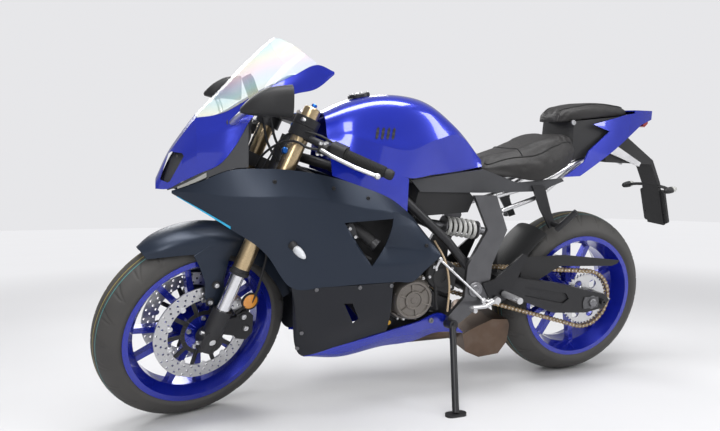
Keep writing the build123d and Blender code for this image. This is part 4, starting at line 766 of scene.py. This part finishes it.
tankRows = [(1010, 962, 62, 950, 104, 884, 112, 872), (930, 1000, 82, 984, 140, 890, 150, 840),
            (850, 1020, 94, 1002, 151, 870, 155, 808), (760, 1026, 98, 1004, 151, 856, 148, 770),
            (660, 1010, 90, 984, 134, 890, 124, 778), (570, 956, 70, 936, 108, 905, 106, 787),
            (466, 846, 56, 838, 82, 824, 88, 803)]
tankSkin = skin(archRows(tankRows), 110, 34, (1, 5))
panel("tank_shell", tankSkin, "blue", "fuel_tank", pair=False, angle=24)
tankSideRows = [(1005, 115, 868, 152, 776), (930, 150.5, 838, 162, 748), (850, 156, 806, 159, 712),
                (756, 148.5, 767, 148, 662)]
panel("tank_side_skins", skin(stripRows(tankSideRows), 48, 14), "blue", "tank_side_panels")
print("tank made")

# fender: rows of angle round the front axle, then half width and radius from crown to skirt; stays at its sides
fenderRows = np.array([
    (58, 0, 326, 16, 322, 30, 314, 40, 300), (66, 0, 329, 30, 324, 54, 310, 60, 286),
    (76, 0, 330, 36, 325, 66, 308, 72, 272), (92, 0, 330, 40, 325, 72, 304, 78, 258),
    (112, 0, 329, 40, 324, 72, 303, 78, 256), (136, 0, 329, 40, 324, 72, 303, 78, 258),
    (154, 0, 328, 38, 323, 68, 304, 75, 264), (166, 0, 326, 34, 321, 60, 306, 68, 274)], float)
stay = [(1435, 560), (1392, 585), (1335, 575), (1322, 555), (1342, 470), (1336, 400), (1340, 372), (1366, 366),
        (1392, 400), (1400, 430), (1400, 470), (1418, 525)]
left = roundAxle(bike["frontAxle"], fenderRows[:, 2::2], fenderRows[:, 1::2], np.radians(fenderRows[:, :1]))
fenderSkin = skin(np.concatenate((left[:, :0:-1] * (1, -1, 1), left), 1), 72, 36)
made = Surface().sheet(fenderSkin, wall).slab(stay, 73, 77.6, 1.6, pair=True)
piece("fender_shell", made, "navy", "front_fender", body="steering")
print("fender made")

# tables of turned parts: each row is a profile of radius and height, sides, places, aim, look and both sides or not
legAhead = np.array((rakeCos, 0, rakeSin))


def onLeg(at, y=105, ahead=0):  # a point by height along the fork, side and distance ahead
    return np.array(bike["frontAxle"]) + at * steerUp + ahead * legAhead + np.array((0, y, 0))


def unsteered(points):
    return spun(points, steerUp, steerFoot, -bike["steerStop"])


reflectorAt, fenderBoltAt = (1262, 90, 391), np.array(((1367, 77.4, 459), (1385, 77.4, 407)))
forkTrim = dict(
    seals=([(21, 0), (28, 0), (29.5, 3), (29.5, 11), (27.5, 13), (27.5, 18), (26.2, 21), (21, 21), (21, 0)], 28,
           onLeg(212), steerUp, 0, True),
    reflectorRims=(hoop(24, 27.5, 8), 28, reflectorAt, leftward, 0, True),
    reflectors=(knob(24, 7.2, 4, 1.2), 28, reflectorAt, leftward, 1, True),
    caliperBolts=(*button(9.5, 7), [(1274, 78.3, 334), (1265, 78.3, 292)], leftward, 2, True),
    fenderWashers=([(0, 0), (13, 0), (13, 2.4), (9, 4), (0, 4)], 20, fenderBoltAt, leftward, 0, True),
    fenderBolts=(*button(8, 6), fenderBoltAt + (0, 4, 0), leftward, 2, True),
    caps=([(0, 8), (13, 8), (14, 5), (23, 5), (25.6, 2), (25.6, -1), (0, -1)], 28, onLeg(743), steerUp, 3, True),
    adjusters=(knob(8.5, 10, 1.5, 2), 16, onLeg(751), steerUp, 4, True),
    stemNut=(knob(18, 15, 3, 3), 6, onLeg(724, 0, -38.2), steerUp, 2),
    stemWasher=(knob(24, 4, 1, 2), 28, onLeg(720, 0, -38.2), steerUp, 4),
    clampBolts=(*button(6.5, 8), [onLeg(480, 132, 30), onLeg(495, 132, 30), onLeg(703, 132, 30),
                                  onLeg(-16, 108, 31), onLeg(16, 108, 31)], legAhead, 2, True))
reflectorStay = [(1262, 89, 388), (1285, 94, 374), (1312, 99, 362)]
made = Surface().turnAll(forkTrim).rods(reflectorStay, radius=4.5, pair=True)
piece("fork_trim", made, "plastic amberLens silver gold blueAnodised", slot="silver_metal", body="steering")

# bars: grips ribbed by r = R + h cos(2 pi n t), weights, switches and cables
bars = dict(start=(1129, 126, 906), end=(988, 340, 842), level=(1, 0, 0.1), grip=128, bore=11.6, radius=16.4,
            ribs=26, rib=0.7)
barFrom, barTo, barLevel = (np.array(bars[key], float) for key in ("start", "end", "level"))
barRun, barLong = unit(barTo - barFrom), np.linalg.norm(barTo - barFrom)
barAhead = unit(barLevel - barRun * (barRun @ barLevel))
barUp = np.cross(barRun, barAhead)
grip, bore = bars["grip"], bars["bore"]


def onBar(ahead, up, along):
    return barFrom + barAhead * ahead + barUp * up + barRun * along


t = np.linspace(0, 1, bars["ribs"] * 4 + 1)
ribbed = np.stack((bars["radius"] + bars["rib"] * np.cos(2 * np.pi * bars["ribs"] * t), 5 + (grip - 10) * t), 1)
profile = np.concatenate(([(bore, 0), (21, 0), (21.5, 2), (18, 5)], ribbed,
                          [(15, grip - 3), (bore, grip - 0.6), (bore, 0)]))
made = Surface().turn(profile, 26, onBar(0, 0, barLong - grip), barRun, 0, True)
piece("grip_sleeves", made, "gripRubber", "grips", body="steering")
barTrim = dict(
    weights=([(0, 0), (12, 0), (15, 3), (15.5, 14), (13, 22), (10, 24), (0, 24)], 22, onBar(0, 0, barLong - 1),
             barRun, 0, True),
    buttons=(knob(7, 5, 1, 1), 14, [onBar(-21, 8, 106), onBar(-21, -8, 114), onBar(-21, 10, 122)],
             -barAhead, 1, True),
    redButtons=(knob(4.5, 4, 0.5, 1), 12, onBar(-21, -2, 100), -barAhead, 3, True),
    topBolts=(*button(6, 5), [onBar(20, 15, 78), onBar(34, 15, 78), onBar(46, 15, 70)], barUp, 2, True),
    lowBolts=(*button(6, 5), [onBar(20, -15, 78), onBar(34, -15, 78), onBar(46, -15, 70)], -barUp, 2, True),
    fluidCup=([(0, 0), (15, 0), (19, 3), (19, 30), (20, 31), (20, 36), (17, 38), (0, 38)], 24,
              onBar(52, 30, 78) * (1, -1, 1), (0, 0, 1), 0),
    plugs=([(0, 0), (9, 0), (10, 2), (10, 14), (7, 18), (0, 18)], 18,
           unsteered([(1113, 100, 918), (1142, 110, 845)]), (0.3, 1, 0.2), 4))
made = Surface().turnAll(barTrim)
made.rods([onBar(44, 4, 68), onBar(62, 6, 40), onBar(58, 4, 12), onLeg(600, 78, 52), onLeg(560, 52, 60),
           onLeg(520, 30, 50)], radius=3.6, count=40, sides=10, pair=True)
made.rods([onBar(8, -20, 92), onBar(14, -26, 60), onLeg(640, 82, 36), onLeg(560, 66, 44), onLeg(505, 44, 40)],
          radius=3.2, count=36, sides=10, pair=True)
made.rods(unsteered([(1196, 62, 940), (1184, 62, 869), (1152, 62, 807)]),
          unsteered([(1174, 56, 936), (1156, 58, 869), (1128, 60, 822)]), radius=4.0, count=30, sides=10)
piece("bar_trim", made, "plastic greyMetal silver redLens blueAnodised", slot="trim_black", body="steering")
print("front end trimmed")

# engine covers: lathed castings with ribs and lugs at place, side, growth and depth; the sprocket cover
covers = dict(
    castings=(((730, 114, 381), 1, 1.0, 1.0), ((690, -114, 385), -1, 1.05, 0.9)),
    shape=[(0, 66), (10, 66), (12, 63.5), (23, 63.5), (25, 67), (30, 67), (32, 62), (51, 61), (54, 65.5), (60, 65.5),
           (64, 61), (68, 50), (71, 30), (73, 22), (77, 21), (78, 18), (78, 0), (0, 0)],
    ribs=6, ribTurn=0.35, ribRows=((30, 54, 63, 63, 3.2), (65, 74, 58, 24, 3.6)),
    lugs=7, lugRing=76, lugHigh=22, lug=knob(8, 22, 1.5, 1.5),
    sprocket=[(568, 396), (600, 382), (640, 400), (668, 426), (676, 446), (670, 474), (658, 492), (590, 492),
              (570, 478), (562, 460)])
made = Surface()
spokes = roundAxle((0, 0, 0), 1, 0, ring(covers["ribs"]) + covers["ribTurn"])
for at, out, grow, deep in covers["castings"]:
    aim = np.array((0, out, 0))
    made.turn(np.array(covers["shape"]) * (grow, deep), 64, at, aim)
    for near, far, high, low, thick in covers["ribRows"]:
        for spoke in spokes * grow:
            made.rods([at + spoke * near + aim * high * deep, at + spoke * far + aim * low * deep],
                      radius=thick, sides=8)
    lugs = roundAxle(at, covers["lugRing"] * grow, at[1], -ring(covers["lugs"]) - np.pi / covers["lugs"])
    made.turn(covers["lug"], 16, lugs, aim)
    made.turn(*button(5.6, 5.5), lugs + aim * covers["lugHigh"], aim, 2)
made.slab(covers["sprocket"], 122, 144, 4, mark=1)
made.rods([(668, 114.3, 456), (668, 126, 456)], [(648, 114.3, 482), (648, 126, 482)], radius=7, mark=1)
made.turn(*button(5.6, 5), [(584, 144, 470), (586, 144, 408), (650, 144, 478), (664, 144, 446)], leftward, 2)
made.turn([(12, 0), (34, 0), (36, 1.5), (34, 3), (30, 3.4), (12, 2), (12, 0)], 32, (616, 144, 440), leftward, 1)
piece("engine_castings", made, "bronzeCover plastic silver", "engine_covers")

# engine side: case ribs, flange with its bolts, oil plug, hoses and the shift rod
caseFace, shiftRod = 114.2, [(631, 150, 503), (477, 180, 364)]
engineTrim = dict(
    flange=([(80, 0), (88, 0), (89, 2), (86, 6), (80, 6), (80, 0)], 64, (730, caseFace, 381), leftward),
    flangeBolts=(*button(5, 5), roundAxle((730, 0, 381), 84, 120, ring(9) + 0.2), leftward, 1),
    oilPlug=([(0, 16), (9, 16), (10, 18), (14, 18), (15, 15), (15, 0), (0, 0)], 20, (796, 116, 296), leftward, 2),
    oilPlugCore=(knob(8, 3, 1, 1), 16, (796, 132, 296), leftward, 3),
    rodJoints=([(0, -7), (6, -7), (9, -4), (9, 4), (6, 7), (0, 7)], 16, shiftRod, leftward, 1))
made = Surface().turnAll(engineTrim)
made.rods(*([(632, caseFace, z - 4), (646, caseFace + 1, z)] for z in (300, 318, 336)), radius=4, sides=8)
made.rods([(650, 118, 540), (634, 132, 490), (640, 142, 420), (628, 140, 330)],
          [(668, 118, 548), (690, 124, 500), (742, 126, 480)], radius=5.0, count=30, mark=2)
made.rods([(640, 118, 560), (612, 146, 500), (598, 160, 420), (602, 166, 330)], radius=3.4, count=36, mark=4)
made.rods(shiftRod, radius=4.2, mark=1)
made.rods([(631, 148, 503), (640, 142, 476), (636, 140, 452)], radius=6, mark=1)
made.rods([(477, 172, 364), (455, 172, 356), (432, 172, 361)], radius=6.5, mark=1)
piece("engine_trim", made, "darkMetal silver plastic brass hoseTan", slot="dark_metal")

# slider tube in the side opening, with its lip, bracket, bolts and backing plate
slider = dict(path=[(950, 138, 636), (908, 162, 600), (872, 182, 569)], radius=16.5,
              lip=[(12, -16), (17.5, -12), (20, -2), (20.5, 5), (17, 7), (14, 5), (12.5, -16)],
              bracket=[(968, 628), (940, 634), (918, 588), (946, 578)],
              backing=[(1000, 668), (790, 668), (790, 486), (905, 480)],
              stays=[[(955, 160, 560), (915, 176, 540)], [(960, 150, 600), (900, 168, 530), (880, 170, 520)]])
made = Surface().rods(slider["path"], radius=slider["radius"], sides=24, pair=True)
made.turn(slider["lip"], 32, slider["path"][2], np.subtract(slider["path"][2], slider["path"][0]), 1, True)
made.slab(slider["bracket"], 150, 168, 2, mark=2, pair=True).slab(slider["backing"], 116, 120, 1, pair=True)
made.rods(*slider["stays"], radius=6, pair=True)
made.turn(*button(6, 5), [(950, 168, 618), (932, 168, 592)], leftward, 3, True)
piece("slider_tubes", made, "plastic darkMetal inner silver", slot="trim_black")

radiator = dict(foot=(1047, 0, 427), head=(1087, 0, 659), half=142, fins=36, out=1.6, finDeep=2.2, finHigh=1.6)
foot, head = np.array(radiator["foot"]), np.array(radiator["head"])
fins = foot + (head - foot) * np.linspace(0.03, 0.97, radiator["fins"])[:, None] + np.array((radiator["out"], 0, 0))
fins = fins[:, None] + np.array(((0, -radiator["half"], 0), (0, radiator["half"], 0)))
loop = roundAxle((0, 0, 0), 1, 0, ring(6)) * (radiator["finDeep"], 0, radiator["finHigh"])
piece("radiator_fins", Surface().grid(fins[:, :, None] + loop, closeV=True), "darkMetal", slot="radiator_black")
print("engine trimmed")

# mirrors: rows of x, y, z, width and height; superelliptic hoops |cos t|^p, glass in the back, stalks from the cowl
mirrors = dict(rows=[(1286, 292, 952, 26, 14), (1262, 296, 962, 72, 44), (1222, 302, 974, 100, 70),
                     (1164, 304, 978, 108, 84)], shifts={1: (0, 0), -1: (60, 62)}, power=0.62,
               root=(1292, 128, 918), joint=(1252, 284, 960), bow=6, lip=0.93,
               foot=[(0, 0), (17, 0), (18, 3), (14, 9), (0, 10)])
t = ring(40)
wave = np.stack((np.cos(t), np.sin(t)))
wave = np.sign(wave) * np.abs(wave) ** mirrors["power"]
x, y, z, wide, tall = np.array(mirrors["rows"], float).T[:, :, None]
shell = smoothRows(np.stack((x + 0 * t, y + wide / 2 * wave[0], z + tall / 2 * wave[1]), -1), 26)
hub = shell.mean(1, keepdims=True)
tip, back = hub[0] + 0 * shell[0], hub[-1] + 0 * shell[-1]
lip = back + (shell[-1] - back) * mirrors["lip"]
head = np.stack((tip + (3, 0, 0), *shell, lip, lip + (5, 0, 0), back + (5, 0, 0)))
glass = np.stack((back + (lip - back) * 0.98, back)) + (3.5, 0, 0)
made = Surface()
for flank, (ahead, rise) in mirrors["shifts"].items():
    move, mirrored = np.array((ahead, 0, rise)), np.array((1, flank, 1))
    made.grid((head + move) * mirrored, closeV=True)
    made.grid((glass + move) * mirrored, closeV=True, mark=1)
    root, way = np.array(mirrors["root"]), np.linspace(0, 1, 12)[:, None]
    path = root + (mirrors["joint"] + move - root) * way + np.array((0, 0, mirrors["bow"])) * np.sin(np.pi * way)
    made.rods(path[:8] * mirrored, radius=np.linspace(10, 8, 8), sides=14, mark=2)
    made.rods(path[7:] * mirrored, radius=np.linspace(8.6, 11, 5), sides=14)
    made.turn(mirrors["foot"], 22, (root - (0, 4, 0)) * mirrored, (0.1, flank * 0.9, 0.4))
piece("mirror_heads", made, "plastic mirror silver", "mirrors")

# signals: front lenses on the fairing, capsules on stalks at the back
signals = dict(base=(1131, 192, 581), tip=(1102, 242, 550), stem={0.0: 13, 0.12: 13, 0.3: 10},
               lens={0.28: 9.5, 0.34: 11.5, 0.5: 12.5, 0.7: 11, 0.88: 7.5, 0.97: 4, 1.0: 1},
               stalk=[(-372, 38, 732), (-366, 70, 729), (-362, 98, 724)], rear=(-360, 104, 723), aft=(-56, 0, 10),
               rearCase=[(0, -30), (6, -29), (10, -24), (12.4, -10), (12.8, 4), (0, 4)],
               rearLens=[(0, 4), (12.4, 4), (12, 14), (9, 23), (4, 28), (0, 29)])
made = Surface()
base, tip = np.array(signals["base"], float), np.array(signals["tip"], float)
for key, mark in (("stem", 0), ("lens", 1)):
    way = np.array(list(signals[key]))[:, None]
    made.rods(base + (tip - base) * way, radius=list(signals[key].values()), sides=18, mark=mark, pair=True)
made.rods(signals["stalk"], radius=6, pair=True)
for key, mark in (("rearCase", 0), ("rearLens", 2)):
    made.turn(signals[key], 22, signals["rear"], signals["aft"], mark, True)
piece("signal_lamps", made, "plastic clearLens smokeLens", "turn_signals")

# tank: four black slots each side, the filler cap with its ring of bolts
tank = dict(slots=4, slotStep=17.5, slotFront=868, slotLow=886, slotHigh=922, slotWide=9, slotSlant=9, slotLift=1.2,
            cap=(880, 0, 1012), capUp=(0.2, 0, 0.98), capHigh=14, capBolts=6, capRing=29.5, tab=10,
            capShape=[(0, 14), (15, 14), (17, 12.5), (24, 12.5), (26, 14.5), (33, 14), (36, 11), (36, 2), (0, 2)])
made = Surface()
u, v = np.linspace(-1, 1, 5), np.linspace(0, 1, 9)[:, None]
ease = np.sqrt(np.clip(1 - ((v - 0.5) * 2) ** 8, 0.05, 1))
for k in range(tank["slots"]):
    slotX = tank["slotFront"] - tank["slotStep"] * k - tank["slotSlant"] * v + u * tank["slotWide"] / 2 * ease
    slotZ = tank["slotLow"] + (tank["slotHigh"] - tank["slotLow"]) * v + 0 * u
    made.grid(drape(tankSkin, np.stack((slotX, slotZ), -1), tank["slotLift"]), pair=True)
piece("tank_slots", made, "plastic", slot="trim_black")
right, ahead, aim = framed(tank["capUp"])
top = np.array(tank["cap"]) + aim * tank["capHigh"]
t = ring(tank["capBolts"])[:, None]
made = Surface().turn(tank["capShape"], 40, tank["cap"], aim)
made.turn(*button(3.4, 3), top + tank["capRing"] * (np.cos(t) * right + np.sin(t) * ahead), aim, 1)
made.rods([top - right * tank["tab"], top + right * tank["tab"]], radius=3.4, mark=1)
piece("filler_cap", made, "darkMetal silver", "fuel_cap")

display = dict(rows=((1205.6, 998), (1213.5, 1020), (1221.5, 1042), (1226.8, 1056)), half=52, wall=2.0)
t = np.linspace(-1, 1, 9)
displayFace = np.stack([np.stack((x + 0 * t, display["half"] * t, z + 0 * t), 1) for x, z in display["rows"]])
piece("dash_display", Surface().sheet(displayFace, display["wall"]), "displayGlass", slot="trim_black")

# tail lock, axle nuts with their plates, chain adjusters and pivot caps
rearTrim = dict(
    lock=([(0, 3), (5, 3), (5.5, 4.5), (8.5, 4.5), (9.5, 3), (9.5, 0), (0, 0)], 20, (112, 90.5, 962), (0, 1, 0.12)),
    nuts=([(0, 13), (11, 13), (15, 11), (17, 8), (17, 0), (0, 0)], 6, (0, 150.5, 315), leftward, 0, True),
    washers=(hoop(18, 24, 3), 30, (0, 150.2, 315), leftward, 0, True),
    adjusters=([(0, 0), (8, 0), (8, 6), (0, 6)], 6, (-76, 137, 316), (-1, 0, 0), 0, True),
    pivotCaps=([(0, 9), (8, 9), (10, 11), (16, 11), (18, 8), (24, 7), (26, 4), (26, -6), (0, -6)], 30,
               (503, 164, 399), leftward, 0, True))
axlePlate = [(36, 337), (-26, 335), (-30, 315), (-26, 294), (36, 292), (42, 315)]
made = Surface().turnAll(rearTrim).slab(axlePlate, 150.2, 154, 1, mark=1, pair=True)
made.rods([(-70, 137, 316), (-92, 137, 316)], radius=4.5, pair=True)
piece("rear_trim", made, "greyMetal frameMetal", slot="silver_metal")

# bolts along the fairing seams, and the bright strip on the lower edge
seams = dict(lower=[(1055, 441), (921, 441), (818, 440), (1092, 300), (1098, 240)], belly=[(650, 296)],
             side=[(1180, 760), (1010, 742), (900, 712), (700, 560)], stripFrom=1442, stripTo=1296, stripRows=5,
             stripLift=0.9, stripWall=0.8)
made = Surface()
made.turn(*button(6.5, 4.5), drape(lowerSkin, seams["lower"], 0.2), leftward, 0, True)
made.turn(*button(9, 5.5), drape(bellySkin, seams["belly"], 0.4), (0, 1, 0.1), 0, True)
made.turn(*button(6, 4), drape(sideSkin, seams["side"], 0.3), (0, 1, 0.15), 1, True)
piece("fairing_bolts", made, "greyMetal plastic", slot="silver_metal")
along = sideSkin[:, 0, 0]
strip = sideSkin[(along < seams["stripFrom"]) & (along > seams["stripTo"])][:, -seams["stripRows"]:]
strip = strip - inward(strip) * seams["stripLift"]
piece("cyan_strips", Surface().sheet(strip, seams["stripWall"], pair=True), "cyan", slot="body_blue")
print("trim made")

# seats: the solid's copy remeshed, drawn in, blown up as cloth with its motion capped, then seams laid on
seats = dict(
    pads=dict(rider_seat=dict(voxel=0.006, inset=0.004, cap=0.007),
              pillion_seat=dict(voxel=0.005, inset=0.003, cap=0.006)),
    pressure=4.0, frames=20, heldBelow=-0.55, quickSwell=1.4, piping=2.2, pipingSink=0.4, seamPoints=48, above=1150.0,
    seams=dict(rider_seat=[[(440, 60), (390, 78), (310, 108), (230, 120), (190, 118), (150, 110), (122, 98)],
                           [(318, -104), (322, -50), (324, 0), (322, 50), (318, 104)]],
               pillion_seat=[[(136, 40), (90, 62), (10, 63), (-60, 59), (-140, 40)]]))


def meshPoints(mesh, key="co"):
    flat = np.empty(len(mesh.vertices) * 3, np.float32)
    mesh.vertices.foreach_get(key, flat)
    return flat.reshape(-1, 3).astype(float)


def reshape(mesh, points):
    mesh.vertices.foreach_set("co", points.astype(np.float32).ravel())
    mesh.update()


def padOf(node, pad):
    solid = frame["nodes"][node]
    mesh = solid.data.copy()
    mesh.transform(solid.matrix_world)
    holder = bpy.data.objects.new(node + "_pad", mesh)
    bpy.context.scene.collection.objects.link(holder)
    remesh = holder.modifiers.new("remesh", "REMESH")
    remesh.mode, remesh.voxel_size = "VOXEL", pad["voxel"]
    settle(holder)
    normals = meshPoints(holder.data, "normal")
    start = meshPoints(holder.data) - normals * pad["inset"]
    reshape(holder.data, start)
    held = holder.vertex_groups.new(name="held")
    held.add(np.flatnonzero(normals[:, 2] < seats["heldBelow"]).tolist(), 1.0, "REPLACE")
    moved = normals * pad["inset"] * seats["quickSwell"]
    cloth = holder.modifiers.new("cloth", "CLOTH")
    cloth.settings.use_pressure = True
    cloth.settings.uniform_pressure_force = seats["pressure"]
    cloth.settings.effector_weights.gravity = 0
    cloth.settings.vertex_group_mass = "held"
    for at in range(1, seats["frames"] + 1):
        bpy.context.scene.frame_set(at)
    blown = holder.evaluated_get(bpy.context.evaluated_depsgraph_get())
    moved = meshPoints(blown.data) - start
    holder.modifiers.clear()
    bpy.context.scene.frame_set(1)
    far = np.linalg.norm(moved, axis=1, keepdims=True)
    reshape(holder.data, start + moved * np.minimum(1, pad["cap"] / (far + 1e-9)))
    holder.vertex_groups.clear()
    even = holder.modifiers.new("even", "SMOOTH")
    even.factor, even.iterations = 0.5, 6
    soft = holder.modifiers.new("soft", "SUBSURF")
    soft.levels = soft.render_levels = 1
    settle(holder)
    holder.data.materials.clear()
    holder.data.materials.append(finishes["vinyl"].material)
    shade(holder.data, 60)
    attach(holder, "chassis")
    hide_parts(node)
    print(node, "moved by up to", round(float(min(far.max(), pad["cap"]) * 1000), 1), "mm")
    return holder


down = Vector(parkTurn @ np.array((0, 0, -1.0)))
for node, pad in seats["pads"].items():
    holder = padOf(node, pad)
    bpy.context.view_layer.update()
    made = Surface()
    for path in seats["seams"][node]:
        x, y = smoothRows(path, seats["seamPoints"]).T
        for flank in ((1, -1) if y[0] > 0 else (1,)):
            over = np.stack((x, y * flank, 0 * x + seats["above"]), 1)
            tops = [Vector(p) for p in parked(over)]
            hits = [holder.ray_cast(top, down) for top in tops]
            found = np.array([hit[0] for hit in hits])
            depth = np.array([(hit[1] - top).length * 1000 for hit, top in zip(hits, tops)])[found]
            laid = over[found] - np.stack((0 * depth, 0 * depth, depth - seats["pipingSink"]), 1)
            made.rods(laid, radius=seats["piping"], sides=8)
    piece(node + "_seams", made, "gripRubber", slot="seat_vinyl")
print("seats made")

# camera, from the fit to the photograph
view = dict(place=(0.816, 1.691, 0.666), yaw=-108.52, pitch=-1.45, roll=-0.39, focal=544, width=720, sensor=36)
camera = bpy.data.objects.new("camera", bpy.data.cameras.new("camera"))
bpy.context.scene.collection.objects.link(camera)
yaw, pitch, roll = np.radians((view["yaw"], view["pitch"], view["roll"]))
ahead = np.array((np.cos(pitch) * np.cos(yaw), np.cos(pitch) * np.sin(yaw), np.sin(pitch)))
level = unit(np.cross(ahead, (0, 0, 1)))
lift = np.cross(level, ahead)
right, top = level * np.cos(roll) + lift * np.sin(roll), lift * np.cos(roll) - level * np.sin(roll)
facing = Matrix(np.stack((right, top, -ahead), 1).tolist()).to_4x4()
camera.matrix_world = Matrix.Translation(view["place"]) @ facing
camera.data.sensor_width = view["sensor"]
camera.data.lens = view["focal"] / view["width"] * view["sensor"]
camera.data.clip_end = 60
bpy.context.scene.camera = camera

# floor; far off, it takes the sky's colour
studio = dict(floor=(0.56, 0.56, 0.57), floorSize=14.0, fadeFrom=1.6, fadeTo=5.0, sky=(0.84, 0.84, 0.86), fill=0.42,
              shown=0.95)
floorMesh = bpy.data.meshes.new("floor")
reach = studio["floorSize"]
floorMesh.from_pydata([(-reach, -reach, 0), (reach, -reach, 0), (reach, reach, 0), (-reach, reach, 0)], [],
                      [(0, 1, 2, 3)])
floor = bpy.data.objects.new("floor", floorMesh)
bpy.context.scene.collection.objects.link(floor)
floorFinish = Finish("floor_paint", studio["floor"], 0.55, Emission_Strength=1.0)
cloud = floorFinish.noise(1.6, 3)
away = (floorFinish.part("X") ** 2 + floorFinish.part("Y") ** 2) ** 0.5
fade = floorFinish.node("ShaderNodeMapRange", dict(interpolation_type="SMOOTHSTEP"),
                        {0: away, 1: studio["fadeFrom"], 2: studio["fadeTo"]})
dark, light = ([c * k for c in studio["floor"]] for k in (0.96, 1.04))
floorFinish.feed("Base Color", floorFinish.mix(fade, floorFinish.mix(cloud, dark, light), (0, 0, 0)))
floorFinish.feed("Roughness", cloud * 0.1 + 0.5)
floorFinish.feed("Emission Color", floorFinish.mix(fade, (0, 0, 0), [c * studio["shown"] for c in studio["sky"]]))
floorMesh.materials.append(floorFinish.material)

# world: brighter where the camera sees it than where it lights the bike
world = bpy.data.worlds.new("studio")
world.use_nodes = True
bpy.context.scene.world = world
tree = world.node_tree
tree.nodes.clear()
rays, seen, strength, sky, output = (tree.nodes.new("ShaderNode" + kind) for kind in
                                     ("LightPath", "Math", "MapRange", "Background", "OutputWorld"))
seen.operation = "MAXIMUM"
strength.inputs[3].default_value, strength.inputs[4].default_value = studio["fill"], studio["shown"]
sky.inputs[0].default_value = (*studio["sky"], 1)
for start, end in ((rays.outputs["Is Camera Ray"], seen.inputs[0]),
                   (rays.outputs["Is Transmission Ray"], seen.inputs[1]),
                   (seen.outputs[0], strength.inputs[0]), (strength.outputs[0], sky.inputs[1]),
                   (sky.outputs[0], output.inputs[0])):
    tree.links.new(start, end)
lamps = [  # name, place, aim, size x, size y, watts
    ("overhead", (0.2, 0.6, 3.6), (0.0, 0.0, 0.5), 3.4, 1.1, 150),
    ("left_strip", (1.9, 3.0, 2.2), (0.2, 0.0, 0.6), 0.9, 2.6, 80),
    ("rear_strip", (-2.6, 2.0, 2.0), (-0.4, 0.0, 0.6), 0.8, 2.4, 55),
    ("far_side", (0.3, -3.4, 2.6), (0.0, 0.0, 0.5), 3.0, 1.2, 80)]
for name, place, aim, wide, tall, watts in lamps:
    lamp = bpy.data.lights.new(name, "AREA")
    lamp.shape = "RECTANGLE"
    lamp.size, lamp.size_y, lamp.energy = wide, tall, watts
    holder = bpy.data.objects.new(name, lamp)
    holder.location = place
    holder.rotation_euler = (Vector(aim) - Vector(place)).to_track_quat("-Z", "Y").to_euler()
    bpy.context.scene.collection.objects.link(holder)
bpy.context.scene.view_settings.view_transform = "Standard"
print("stage set")
